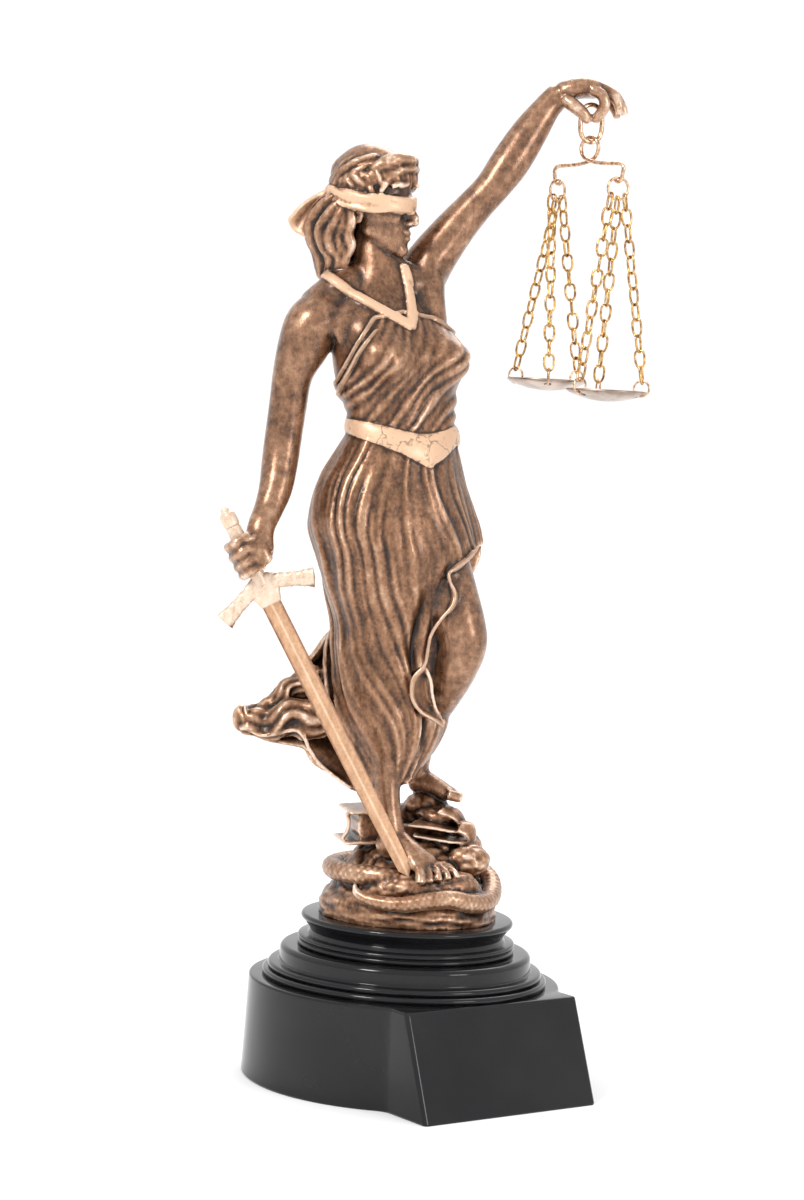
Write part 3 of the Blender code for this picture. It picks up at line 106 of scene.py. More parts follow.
def tube(rows, sides=16, rings=20, side=None, power=2.0, ends=(0.04, 0.04), shape=None, crisp=False):
    # rows hold x, y, z, half width and half depth, and a turn in degrees where the sections lie level
    bm = bmesh.new()
    bmesh.ops.create_uvsphere(bm, u_segments=sides, v_segments=rings, radius=1.0)
    unit = readPoints(bm)
    along = np.arccos(np.clip(unit[:, 2], -1, 1)) / math.pi
    angle = np.arctan2(unit[:, 1], unit[:, 0])
    if crisp:
        inner = np.clip((along - 1 / rings) / (1 - 2 / rings), 0, 1)
        pole = (along < 0.5 / rings) | (along > 1 - 0.5 / rings)
        along = np.where(pole, np.round(along), ends[0] + inner * (1 - ends[0] - ends[1]))
    row = blend(rows, along)
    if side is None:
        turn = np.radians(row[:, 5])
        across = np.stack([np.cos(turn), np.sin(turn), 0 * turn], 1)
        deep = np.stack([-np.sin(turn), np.cos(turn), 0 * turn], 1)
    else:
        ahead = unitRows(blend(rows, along + 0.01)[:, :3] - blend(rows, along - 0.01)[:, :3])
        level = blend(side, along) if np.ndim(side) == 2 else np.array([side], float)
        across = unitRows(level - np.sum(ahead * level, 1)[:, None] * ahead)
        deep = np.cross(ahead, across)
    near = np.clip(np.minimum(along / ends[0], (1 - along) / ends[1]), 0, 1)
    cap = np.sqrt(1 - (1 - near) ** 2)
    if crisp:
        cap = np.where(pole, 0.0, 1.0)
    cosine, sine = np.cos(angle), np.sin(angle)
    reach = (np.abs(cosine) ** power + np.abs(sine) ** power) ** (-1 / power)
    grow = shape(np.degrees(angle), row[:, 2], along) if shape else 0
    wide = (row[:, 3] * reach + grow) * cosine * cap
    far = (row[:, 4] * reach + grow) * sine * cap
    movePoints(bm, row[:, :3] + wide[:, None] * across + far[:, None] * deep)
    return bm


def ball(centre, radii, turn=0.0, sides=20, rings=14):
    bm = bmesh.new()
    bmesh.ops.create_uvsphere(bm, u_segments=sides, v_segments=rings, radius=1.0)
    grow = Matrix.Diagonal((*radii, 1.0))
    swing = Matrix.Rotation(math.radians(turn), 4, "Z")
    bmesh.ops.transform(bm, matrix=Matrix.Translation(centre) @ swing @ grow, verts=bm.verts[:])
    return bm


def cord(points, radii, sides=12, rings=30, side=(0, 0, 1), flat=1.0, shape=None):
    radii = np.interp(np.linspace(0, 1, len(points)), np.linspace(0, 1, len(radii)), radii)
    rows = [(*point, radius, radius * flat) for point, radius in zip(points, radii)]
    return tube(rows, sides, rings, side=side, ends=(0.05, 0.05), shape=shape)


def sheet(grid, thickness, cuts=16, ripple=None):
    # a curved cloth through a grid of points, the same thickness all over
    bm = bmesh.new()
    bmesh.ops.create_cube(bm, size=1.0)
    bmesh.ops.subdivide_edges(bm, edges=bm.edges[:], cuts=cuts, use_grid_fill=True)
    unit = readPoints(bm) + (0.5, 0.5, 0.0)

    def surface(u, v):
        stack = np.stack([blend(line, v) for line in grid], 0)
        near, part = stepsAt(u, len(grid) - 1)
        return splined(*(stack[index, np.arange(len(u))] for index in near), part)

    u, v = unit[:, 0], unit[:, 1]
    small = 0.02
    acrossU = surface(np.minimum(u + small, 1), v) - surface(np.maximum(u - small, 0), v)
    acrossV = surface(u, np.minimum(v + small, 1)) - surface(u, np.maximum(v - small, 0))
    normal = unitRows(np.cross(acrossU, acrossV))
    lift = unit[:, 2] * thickness
    if ripple:
        lift = lift + ripple(u, v)
    movePoints(bm, surface(u, v) + normal * lift[:, None])
    return bm


laid = {
    "lift": 0.5,
    "halfThickness": 0.6,
    "count": 60,
    "power": 5.0,
    "search": 14.0,
    "faceRounds": 12,
    "lineRounds": 2,
}


def evened(rows, rounds):
    # each inner row moves to the mean of itself and its neighbours
    for _ in range(rounds):
        rows[1:-1] = (rows[:-2] + rows[1:-1] + rows[2:]) / 3
    return rows


def laidBand(path, width, tree, inside):
    # a flat band that follows the body under it; width may change along it
    share = np.linspace(0, 1, laid["count"])
    hits = []
    for spot in map(Vector, blend(path, share)):
        outward = (spot - Vector(inside)).normalized()
        hits.append(tree.ray_cast(spot + outward * laid["search"], -outward))
    faces = unitRows(evened(np.array([hit[1][:] for hit in hits]), laid["faceRounds"]))
    middles = evened(np.array([hit[0][:] for hit in hits]), laid["lineRounds"])
    middles = middles + faces * laid["lift"]
    sides = np.cross(faces, np.gradient(middles, axis=0))
    widths = np.interp(share, np.linspace(0, 1, len(width)), width)
    rows = [(*middle, half, laid["halfThickness"]) for middle, half in zip(middles, widths)]
    return tube(rows, 16, 2 * laid["count"], side=sides, power=laid["power"], ends=(0.02, 0.02))


def relief(bm, lift):
    # pushes a shell in and out along its normals
    bm.normal_update()
    points = readPoints(bm)
    normals = np.array([vert.normal[:] for vert in bm.verts])
    movePoints(bm, points + normals * lift(points)[:, None])
    return bm


def pleats(position, softness=0.02):
    # rounded ridges with narrow valleys between them
    return np.sqrt(np.sin(math.pi * position) ** 2 + softness) - 0.66


def chance(index, seed):
    # a number from 0 to 1 for each whole index
    value = np.sin(index * 12.9898 + seed * 78.233) * 43758.5453
    return value - np.floor(value)


def unevenPleats(position, seed, fall=None):
    # pleats whose heights, starts and ends differ from one to the next
    softness = 0.02
    index = np.floor(position)
    height = 0.35 + 0.95 * chance(index, seed)
    if fall is not None:
        start = 0.45 * chance(index, seed + 3) - 0.15
        stop = 0.75 + 0.7 * chance(index, seed + 5)
        height = height * soft((fall - start) / 0.14) * (1 - soft((fall - stop) / 0.2))
    return height * (np.sqrt(np.sin(math.pi * position) ** 2 + softness) - math.sqrt(softness)) - 0.3


def soft(value):
    value = np.clip(value, 0, 1)
    return value * value * (3 - 2 * value)


# Torso, neck and dress

torsoRows = [(*row, torsoTurn) for row in (
    (-24.5, 2.0, 289.0, 6.0, 6.4),
    (-22.8, 1.2, 281.0, 7.6, 7.4),
    (-21.0, 0.8, 274.0, 9.4, 8.2),
    (-20.2, 1.2, 268.5, 13.4, 9.8),
    (-19.0, 1.0, 263.5, 19.5, 11.4),
    (-17.0, 0.5, 257.5, 23.0, 13.6),
    (-15.0, 0.0, 250.0, 23.6, 15.2),
    (-13.8, 0.0, 242.0, 23.4, 15.8),
    (-13.2, 0.0, 234.0, 21.8, 15.0),
    (-11.6, 0.0, 227.0, 19.6, 14.2),
    (-10.6, 0.0, 220.0, 19.8, 14.6),
    (-11.5, 0.0, 211.0, 22.5, 16.8),
)]
dress = {
    "arcX": -63.0,
    "arcZ": 285.0,
    "foldWidth": 3.1,
    "foldDepth": 1.6,
    "edgeRadius": 0.6,
    "beltThickness": 1.2,
    "pleatCounts": (58, 31, 11),
    "pleatDepths": (0.95, 1.35, 1.9),
}


def bust(angle, z):
    lump = 0
    for sideways, height, reach in ((-34.0, 245.5, 5.8), (32.0, 246.5, 5.8)):
        away = ((angle + 90 - sideways) / 23.0) ** 2 + ((z - height) / 8.2) ** 2
        lump = lump + reach * np.exp(-(away**1.35))
    return lump


def frontX(angle, middle=-14.0, half=21.6):
    # where a point round the body lies across the pose
    return middle - half * np.cos(np.radians(angle + 205))


def necklineHeight(angle):
    # the dress's top edge, lowest under the bare shoulder
    x = frontX(angle)
    edgeX = [-36.0, -34.7, -28.7, -18.1, -6.3, 2.9, 7.4]
    front = np.interp(x, edgeX, [235.0, 236.4, 244.7, 258.2, 261.1, 259.9, 255.5])
    behind = np.interp(x, [-36.0, 7.4], [235.0, 255.5])
    return np.where((angle + 205) % 360 < 180, front, behind)


def bodice(angle, z, *_):
    # folds sweep in arcs from the waist up to the far shoulder
    cloth = soft((necklineHeight(angle) - z) / 1.0) * soft((z - 220.0) / 2.0)
    x = frontX(angle)
    reach = np.hypot(x - dress["arcX"], z - dress["arcZ"])
    bend = np.arctan2(z - dress["arcZ"], x - dress["arcX"])
    reach = reach + 0.9 * np.sin(4.3 * bend + 0.13 * reach) + 0.55 * np.sin(9.0 * bend - 0.31 * reach)
    reach = reach + 0.3 * np.sin(23.0 * bend + 0.7 * reach)
    line = reach / dress["foldWidth"]
    index = np.floor(line)
    swell = 0.62 + 0.38 * np.sin(5.0 * bend + 6.3 * chance(index, 4))
    smoother = 1 - 0.75 * np.exp(-(((x + 11.0) / 8.0) ** 2) - ((z - 247.0) / 7.0) ** 2)
    folds = swell * (unevenPleats(line, 2.0) + 0.3) * dress["foldDepth"] * smoother
    fine = 0.26 * pleats(reach / 1.27) * soft(0.5 + np.sin(3.1 * bend + 0.23 * reach))
    return bust(angle, z) + cloth * (folds + fine + 0.1)


def torsoPoint(angle, z, out=0.0):
    at = np.interp(-z, [-row[2] for row in torsoRows], np.linspace(0, 1, len(torsoRows)))
    row = blend(torsoRows, np.atleast_1d(at))
    turn = math.radians(torsoTurn)
    grow = bust(angle, z) + out
    wide = (row[:, 3] + grow) * np.cos(np.radians(angle))
    far = (row[:, 4] + grow) * np.sin(np.radians(angle))
    x = row[:, 0] + wide * math.cos(turn) - far * math.sin(turn)
    y = row[:, 1] + wide * math.sin(turn) + far * math.cos(turn)
    return np.stack([x, y, z + 0 * x], 1)


def shoulderShells():
    slope = [(-20.0, 3.0, 281.0), (-27.0, 0.0, 272.0), (-35.0, -4.0, 265.0), (-43.0, -8.0, 258.5)]
    chest = [(-18.0, -7.0, 260.5), (-28.0, -9.0, 257.5), (-37.0, -10.8, 253.0)]
    farSide = [(-4.0, 9.0, 282.0), (-5.4, 7.0, 272.0), (-4.6, 4.0, 264.0), (-3.0, 3.0, 257.0)]
    farSlope = [(-21.0, 1.0, 279.0), (-14.0, 3.0, 272.0), (-8.0, 6.0, 270.0)]
    return [
        cord(slope, (5.0, 6.6, 8.2, 7.4), 28, 34, side=(0, 1, 0)),
        cord(chest, (4.6, 7.2, 7.6), 24, 24, side=(0, 0, 1)),
        cord(farSide, (6.0, 6.6, 6.4, 6.0), 24, 30, side=(0, 1, 0)),
        cord(farSlope, (5.0, 6.6, 7.0), 24, 24, side=(0, 1, 0)),
    ]


def plainBody():
    # the body without its folds, for bands to lie on
    trunk = tube(torsoRows, 90, 80, ends=(0.02, 0.03), shape=lambda angle, z, *_: bust(angle, z) + 0.6)
    return BVHTree.FromBMesh(joinShells([trunk, *shoulderShells()]))


def torsoShells():
    return [tube(torsoRows, 300, 240, ends=(0.02, 0.03), shape=bodice), *shoulderShells()]


def dressEdges():
    # a raised edge round the top of the dress, with a second fold beside it in front
    angles = np.linspace(-204, 154, 60)
    points = torsoPoint(angles, necklineHeight(angles) + 0.2, 1.0)
    edge = cord([tuple(point) for point in points], (dress["edgeRadius"],) * 2, 10, 160, side=(0, 0, 1))
    angles = np.linspace(-204, -125, 16)
    points = torsoPoint(angles, necklineHeight(angles) - 3.4, 1.2)
    second = cord([tuple(point) for point in points], (0.5, 0.8, 0.75, 0.4), 10, 60, side=(0, 0, 1))
    return [edge, second]


def belt():
    # a flat band round the waist that dips to a point in front
    sides, levels = 200, 13
    bm = bmesh.new()
    bmesh.ops.create_uvsphere(bm, u_segments=sides, v_segments=levels, radius=1.0)
    unit = readPoints(bm)
    along = np.arccos(np.clip(unit[:, 2], -1, 1)) / math.pi
    angle = np.degrees(np.arctan2(unit[:, 1], unit[:, 0]))
    x = frontX(angle, -10.7, 18.3)
    front = (angle + 207) % 360 < 180
    edgeX = [-29.0, -24.6, -17.8, -10.4, -5.5, -2.1, 0.5, 2.9, 6.6]
    top = np.interp(x, edgeX, [224.0, 223.4, 222.2, 220.7, 219.9, 220.1, 220.8, 221.6, 223.4])
    foot = np.interp(x, edgeX, [220.0, 218.5, 216.6, 213.9, 211.2, 209.5, 211.6, 213.6, 217.4])
    top = np.where(front, top, 223.7)
    foot = np.where(front, foot, np.interp(x, [-29.0, 6.6], [220.0, 217.4]))
    share = np.clip((along - 1 / levels) / (1 - 2 / levels), 0, 1)
    z = top + (foot - top) * share
    bulge = 0.35 * np.sin(math.pi * share)
    pole = (along < 0.04) | (along > 0.96)
    points = torsoPoint(angle, z, dress["beltThickness"] + bulge)
    middle = np.stack([np.interp(z, [211, 220, 227], [-11.5, -10.6, -11.6]), 0 * z, z], 1)
    movePoints(bm, np.where(pole[:, None], middle, points))
    return bm


def collar(tree):
    # two flat bands that meet in a point on the chest
    right = [
        (-37.0, 4.0, 271.0),
        (-36.4, -1.0, 269.5),
        (-29.8, -8.0, 265.3),
        (-20.1, -12.0, 260.9),
        (-8.4, -13.4, 256.2),
    ]
    left = [
        (-9.3, -13.4, 255.5),
        (-7.0, -11.6, 261.5),
        (-7.2, -8.6, 268.6),
        (-8.8, -6.0, 274.0),
        (-12.2, -3.0, 279.6),
    ]
    return [
        laidBand(right, (1.5, 1.55, 1.6, 1.7), tree, (-21.0, 6.0, 256.0)),
        laidBand(left, (1.7, 1.75, 1.7, 1.5), tree, (-19.0, 4.0, 262.0)),
    ]


# Head: local x runs to the face, y to her left, z up

head = {"centre": (-24.4, 0.0, 298.2), "turn": -13.0}


def onHead(bm):
    place = Matrix.Translation(head["centre"]) @ Matrix.Rotation(math.radians(head["turn"]), 4, "Z")
    bmesh.ops.transform(bm, matrix=place, verts=bm.verts[:])
    return bm


def headShells():
    face = [
        (2.6, 0, 10.0, 9.4, 9.2, 0),
        (2.9, 0, 3.0, 9.8, 9.6, 0),
        (2.9, 0, -4.0, 8.8, 9.2, 0),
        (3.6, 0, -9.0, 8.7, 8.0, 0),
        (4.8, 0, -13.0, 7.6, 6.6, 0),
        (6.2, 0, -16.2, 6.0, 4.9, 0),
        (7.4, 0, -18.2, 4.0, 3.2, 0),
    ]
    nose = [(11.6, 0, 0.6), (13.2, 0, -3.2), (14.9, 0, -6.4)]
    shells = [
        ball((-1.6, 0, 4.6), (13.4, 11.4, 13.4), sides=60, rings=40),
        tube(face, 48, 44, ends=(0.15, 0.1)),
        cord(nose, (1.2, 1.5, 1.7), 16, 18, side=(0, 1, 0)),
        ball((14.4, 0, -6.9), (1.7, 1.6, 1.4)),
        ball((12.4, 0, -3.4), (2.0, 2.2, 4.0)),
        ball((10.6, 0, -10.4), (2.4, 3.6, 3.0)),
        ball((12.3, 0, -10.5), (1.2, 2.9, 0.75)),
        ball((12.1, 0, -12.5), (1.3, 2.4, 0.95)),
        ball((10.1, 0, -16.4), (2.7, 3.6, 2.5)),
    ]
    for left in (-1, 1):
        ear = [(-3.6, 9.9, -5.2), (-2.6, 10.3, -4.2), (-1.4, 10.0, -5.0), (-1.7, 9.8, -7.0)]
        ear = [(x, left * y, z) for x, y, z in ear]
        shells += [
            ball((13.2, left * 1.7, -7.5), (1.3, 1.0, 0.95)),
            ball((1.0, left * 5.0, -9.6), (3.4, 2.4, 3.2)),
            ball((6.6, left * 5.6, -5.4), (4.6, 3.2, 3.4)),
            ball((-2.4, left * 9.5, -6.2), (1.5, 0.8, 2.3)),
            cord(ear, (0.55, 0.6, 0.5), 10, 20),
        ]
    return [onHead(shell) for shell in shells]


blindfold = {"reach": (14.1, 12.5), "halfHeight": 2.85, "backHalfHeight": 1.7, "halfThickness": 1.0}


def bandLift(turn):
    return -0.45 - 1.9 * math.cos(turn) + 1.15 * math.cos(2 * turn)


def bandRow(turn, out, lift, half):
    reachX, reachY = blindfold["reach"]
    x, y = -0.4 + reachX * out * math.cos(turn), reachY * out * math.sin(turn)
    return (x, y, bandLift(turn) + lift, half, blindfold["halfThickness"])


def blindfoldShells():
    # the band round the eyes, a folded end over it at the side, a knot and the loose tail behind
    def wrinkles(angle, _, along):
        lines = np.sin(np.radians(3 * angle) + 21 * along) + 0.7 * np.sin(np.radians(5 * angle) - 37 * along)
        return 0.16 * lines

    rows = []
    for step in range(49):
        turn = -math.pi + 2 * math.pi * step / 48
        share = min(max((-math.cos(turn) - 0.45) / 0.5, 0), 1)
        half = blindfold["halfHeight"] + (blindfold["backHalfHeight"] - blindfold["halfHeight"]) * share
        rows.append(bandRow(turn, 1.0, 0.22 * math.sin(6 * turn + 1), half + 0.2 * math.sin(4 * turn + 0.5)))
    band = tube(rows, 24, 190, side=(0, 0, 1), power=4.0, ends=(0.004, 0.004), shape=wrinkles)
    lobes = []
    for side in (-1, 1):
        upper = [(3.05, 0.3, 1.3), (2.8, 0.5, 1.5), (2.5, 0.8, 1.4), (2.25, 0.7, 0.9), (2.08, 0.2, 0.3)]
        lobes.append([bandRow(side * turn, 1.05, lift, half) for turn, lift, half in upper])
        lower = [(3.05, -0.6, 0.5), (2.7, -1.3, 0.6), (2.35, -1.9, 0.55), (1.9, -2.3, 0.5), (1.4, -2.4, 0.45)]
        lobes.append([bandRow(side * turn, 1.06, lift, half) for turn, lift, half in lower])
    folds = [tube(row, 14, 40, side=(0, 0, 1), power=3.0, ends=(0.04, 0.04)) for row in lobes]
    knot = [ball((-14.6, 0.8, 2.6), (2.0, 3.0, 2.3)), ball((-15.6, -1.2, 3.2), (1.4, 1.6, 1.6))]
    tail = [
        [(-38.0, 1.0, 303.2), (-39.0, 0.0, 301.0), (-38.5, 0.5, 298.6)],
        [(-43.0, 0.5, 299.8), (-44.3, 1.8, 296.8), (-43.0, 1.0, 293.4)],
        [(-48.6, -0.8, 295.6), (-48.8, 2.4, 291.6), (-46.4, 1.0, 288.0)],
        [(-53.2, 0.0, 290.4), (-51.4, 1.8, 287.0), (-46.8, 0.0, 284.6)],
    ]
    return [onHead(shell) for shell in (band, *folds, *knot)] + [sheet(tail, 1.5, 18)]


def grooved(count, depth):
    # fine strands along a lock of hair
    def shape(angle, _, along):
        turn = angle * count / 360.0 + 0.9 * np.sin(7 * along)
        wave = 0.35 * np.sin(16 * along) * np.sin(math.pi * along)
        return depth * (pleats(turn) + 0.4 * pleats(2 * turn + 0.3) + wave)

    return shape


def combedRelief(points):
    # shallow strands that rise towards the front, smooth on the very top
    x, z = points[:, 0], points[:, 2]
    line = z * 0.77 - x * 0.64 + 0.9 * np.sin(0.42 * x + 0.2 * z) + 0.45 * np.sin(1.05 * x - 0.5 * z + 1)
    depth = soft((16.2 - z) / 6.0)
    return depth * (0.75 * unevenPleats(line / 2.1, 3.0) + 0.28 * pleats(line / 0.83))


# the size of each lock and the points it runs through, on one side of the head
napeLocks = (
    (2.3, (-10.5, -9.4, 1.0), (-15.6, -8.0, -3.0), (-19.4, -6.0, -8.0), (-19.2, -5.0, -14.0),
     (-16.6, -4.0, -20.0), (-15.6, -4.0, -27.5)),
    (2.2, (-8.6, -10.8, -1.0), (-12.4, -10.2, -5.5), (-15.6, -8.6, -10.5), (-14.6, -7.6, -16.0),
     (-12.4, -6.6, -20.5), (-14.0, -5.4, -26.5)),
    (1.9, (-7.2, -11.2, -2.6), (-9.6, -11.2, -7.6), (-12.4, -9.8, -12.5), (-11.2, -8.8, -17.0),
     (-8.8, -7.8, -20.4), (-10.6, -6.6, -25.5)),
    (1.5, (-6.2, -11.2, -3.6), (-7.4, -11.0, -8.8), (-9.0, -9.8, -13.0), (-7.8, -8.8, -17.6),
     (-6.6, -7.6, -21.0), (-8.8, -7.0, -24.5)),
    (2.4, (-13.0, -4.2, 1.5), (-18.4, -3.6, -5.0), (-20.4, -2.6, -12.0), (-18.0, -2.0, -19.0),
     (-16.8, -1.4, -27.5)),
    (2.0, (-12.6, -0.8, 2.0), (-17.6, 0.0, -4.0), (-19.8, 1.0, -10.0), (-18.2, 0.4, -17.0),
     (-17.2, 0.4, -25.0)),
    (1.1, (-9.6, -6.4, -24.0), (-8.0, -7.4, -26.0), (-6.4, -7.6, -24.8), (-5.2, -7.4, -25.6)),
    (1.7, (-5.2, -11.2, -2.6), (-4.4, -10.9, -7.8), (-5.8, -9.7, -12.2), (-4.8, -8.9, -16.2),
     (-7.0, -7.9, -20.6), (-8.4, -7.2, -24.0)),
    (1.1, (-12.4, -5.6, -26.0), (-10.6, -6.6, -28.2), (-8.4, -7.0, -27.4)),
)
rollLocks = (
    (2.5, (0.6, -9.8, 7.4), (3.6, -10.2, 10.2), (8.0, -7.6, 12.9), (12.0, -2.6, 13.6),
     (12.6, 0.6, 13.2)),
    (1.25, (3.4, -11.0, 6.2), (7.0, -10.0, 7.6), (10.4, -7.4, 9.6), (13.4, -3.0, 10.8),
     (14.4, 0.4, 10.8)),
    (0.9, (13.2, -5.0, 5.8), (11.9, -7.2, 4.8), (10.2, -9.2, 4.8), (8.6, -10.4, 3.4)),
    (1.3, (3.6, -10.6, 7.4), (6.0, -10.9, 4.8), (5.0, -11.6, 1.8)),
    (1.0, (2.2, -11.4, 5.4), (1.8, -12.0, 3.0), (3.2, -12.0, 1.2)),
    (0.9, (-2.8, -11.6, 6.6), (0.6, -11.8, 4.6), (2.4, -12.0, 5.2)),
    (1.2, (-10.6, -8.6, 8.4), (-6.4, -10.4, 10.6), (-1.6, -10.6, 13.0), (2.6, -8.8, 14.8)),
    (1.3, (-10.0, -9.8, 5.0), (-5.4, -11.2, 7.2), (-1.0, -11.0, 10.4), (3.0, -9.6, 12.6)),
    (1.0, (-12.4, -6.6, 7.6), (-9.0, -8.4, 11.2), (-5.0, -8.6, 14.2)),
)


def hairShells():
    crown = relief(ball((-1.8, 0, 4.9), (13.9, 12.1, 14.2), sides=200, rings=140), combedRelief)
    mass = [
        (-8.5, 0, 3.0, 5.6, 10.0, 0),
        (-11.0, 0, -4.0, 6.6, 9.8, 0),
        (-12.6, 0, -11.0, 6.2, 8.4, 0),
        (-12.2, 0, -18.0, 5.0, 7.2, 0),
        (-13.2, 0, -25.0, 3.4, 5.2, 0),
        (-13.6, 0, -28.5, 2.4, 4.0, 0),
    ]

    def strands(angle, z, *_):
        wave = 14.0 * np.sin(z / 3.1) + 2.0 * z
        return 0.8 * pleats((angle + wave) / 20.0) + 0.4 * pleats((angle + 1.3 * wave) / 7.5)

    shells = [crown, tube(mass, 160, 110, ends=(0.1, 0.1), shape=strands)]

    def coils(angle, _, along):
        # strands that slant down and forward over the brow
        turn = 23 * along - 3 * angle / 360 + 0.35 * np.sin(31 * along)
        return 0.95 * unevenPleats(turn, 6.0) + 0.35 * pleats(2 * turn + 0.3) - 0.2

    turns = np.radians(np.linspace(-122, 122, 15))
    brow = [(-0.9 + 13.3 * math.cos(at), 11.9 * math.sin(at), 6.4 + 1.2 * math.cos(at)) for at in turns]
    locks = [cord(brow, (2.0, 2.9, 3.1, 2.9, 2.0), 60, 260, flat=0.62, shape=coils)]
    for side in (-1, 1):
        for size, *points in napeLocks + rollLocks:
            points = [(x, -side * y, z) for x, y, z in points]
            radii = (size * 0.55, size, size * 1.05, size * 0.95, size * 0.45)
            ridges = grooved(9 if size > 1.5 else 5, 0.32 * min(size, 1.4))
            locks.append(cord(points, radii, 48, 64, shape=ridges))
    locks.append(ball((15.0, -0.6, 5.4), (0.9, 0.9, 1.0)))
    return [onHead(shell) for shell in shells + locks]


# Arms and hands


def rightArmShells():
    arm = [
        (-33.0, -6.0, 259.5, 8.0, 8.0),
        (-41.4, -9.6, 256.0, 9.6, 9.6),
        (-45.4, -11.2, 247.0, 8.6, 9.0),
        (-48.2, -12.0, 238.0, 6.8, 7.6),
        (-49.2, -12.4, 228.0, 6.4, 6.9),
        (-50.2, -13.2, 217.0, 6.3, 6.3),
        (-50.8, -14.6, 209.0, 6.2, 6.2),
        (-51.6, -17.8, 200.0, 5.7, 5.7),
        (-53.4, -21.6, 193.0, 5.0, 4.6),
        (-55.2, -25.2, 187.5, 4.7, 4.5),
        (-56.0, -27.4, 182.5, 4.6, 4.1),
        (-57.2, -29.0, 178.0, 4.0, 2.8),
    ]
    return [tube(arm, 40, 90, side=(1, 0, 0), ends=(0.08, 0.05))]


grip = {"middle": (-60.2, -27.0, 178.8), "lean": (0.494, 0.010, -0.869)}


def gripFrame():
    down = Vector(grip["lean"]).normalized()
    front = Vector((0, -1, 0))
    front = (front - front.dot(down) * down).normalized()
    right = front.cross(down).normalized()
    return Vector(grip["middle"]), down, front, right


def rightHandShells():
    # a fist seen from its back, with the fingers round the far side of the grip
    middle, down, front, right = gripFrame()

    def at(side, ahead, drop):
        return middle + side * right + ahead * front + drop * down

    back = [at(9.0, -1.6, -6.0), at(5.6, 2.0, -2.6), at(3.9, 3.8, 1.4), at(3.8, 3.9, 4.4), at(4.0, 3.6, 7.4)]
    shells = [
        tube([(*point, 3.9, 2.5) for point in back], 24, 30, side=tuple(right), ends=(0.15, 0.15)),
        tube(
            [
                (*at(9.8, -2.8, -6.4), 4.2, 3.6),
                (*at(7.0, 0.6, -1.8), 4.2, 3.6),
                (*at(5.0, 2.0, 3.6), 3.8, 2.8),
            ],
            24,
            24,
            side=tuple(right),
            ends=(0.15, 0.15),
        ),
    ]
    for index, drop in enumerate((-3.5, 0.2, 3.7, 7.0)):
        size = (1.7, 1.78, 1.74, 1.6)[index]
        bend = [
            at(4.4, 4.2, drop - 0.9),
            at(1.4, 5.0, drop - 0.5),
            at(-1.4, 5.1, drop - 0.1),
            at(-3.5, 3.0, drop + 0.1),
            at(-4.3, 0.0, drop + 0.2),
            at(-3.2, -3.2, drop + 0.2),
            at(-0.6, -4.4, drop),
        ]
        radii = (size * 0.8, size * 0.92, size * 1.12, size * 0.95, size * 1.05, size, size * 0.8)
        shells.append(cord([tuple(point) for point in bend], radii, 18, 54, side=tuple(down)))
    thumb = [at(7.0, -0.5, 2.0), at(5.2, -3.4, 4.4), at(1.6, -4.8, 6.2), at(-2.0, -4.4, 7.6)]
    shells.append(cord([tuple(point) for point in thumb], (2.6, 2.3, 2.1, 1.7), 16, 26, side=(1, 0, 0)))
    for index in range(4):
        # tendons over the back of the hand
        wrist, knuckle = at(7.6 - index, 2.2, -4.2 + index), at(1.4, 6.3, -3.7 + 3.6 * index)
        line = [wrist, at(4.0, 5.8, -2.8 + 3.3 * index), knuckle]
        shells.append(cord([tuple(point) for point in line], (0.5, 0.65, 0.5), 10, 20, side=tuple(down)))
    return shells


def leftArmShells():
    arm = [
        (-16.0, 7.0, 259.0, 8.0, 8.0),
        (-10.5, 9.6, 268.5, 9.4, 9.2),
        (-3.8, 11.5, 280.5, 8.2, 8.2),
        (3.4, 12.6, 291.0, 7.0, 7.0),
        (10.0, 13.6, 299.4, 6.2, 6.3),
        (15.4, 14.5, 306.0, 6.1, 6.2),
        (21.2, 16.0, 315.0, 6.8, 6.3),
        (27.4, 18.0, 325.8, 6.2, 5.7),
        (33.2, 19.4, 335.0, 4.8, 4.5),
        (38.0, 20.0, 340.4, 4.6, 3.9),
    ]
    return [tube(arm, 40, 90, side=(0.8, 0, -0.55), ends=(0.08, 0.05))]


def leftHandShells():
    # the hand hangs from the wrist and pinches the ring
    palm = [
        (36.5, 19.8, 339.4, 4.4, 3.6),
        (42.0, 20.2, 341.6, 5.4, 3.8),
        (47.0, 20.6, 342.2, 5.8, 3.6),
        (51.4, 20.8, 341.4, 5.4, 3.2),
    ]
    shells = [tube(palm, 30, 30, side=(0, 1, 0), ends=(0.1, 0.2))]
    fingers = (
        (2.05, (47.2, 16.2, 341.2), (51.2, 15.4, 339.4), (52.4, 15.6, 335.8), (50.6, 16.4, 332.4),
         (48.6, 17.0, 330.6)),
        (2.0, (50.0, 19.0, 342.6), (54.6, 18.2, 340.4), (57.2, 18.0, 337.0), (57.8, 18.4, 333.4)),
        (2.0, (50.4, 22.2, 342.6), (55.4, 22.2, 340.6), (58.6, 22.2, 336.6), (59.8, 22.2, 333.6)),
        (1.75, (49.6, 25.0, 341.4), (53.8, 25.6, 339.0), (56.6, 25.6, 335.6), (57.4, 25.2, 332.6)),
        (2.4, (38.6, 17.2, 337.6), (42.0, 15.6, 335.2), (45.2, 15.6, 332.8), (47.6, 16.8, 330.2)),
    )
    for size, *points in fingers:
        radii = (size, size * 0.93, size * 1.06, size * 0.86, size * 0.96, size * 0.7)
        shells.append(cord(points, radii, 18, 44, side=(0, 1, 0)))
    return shells


# Skirt, legs and loose cloth

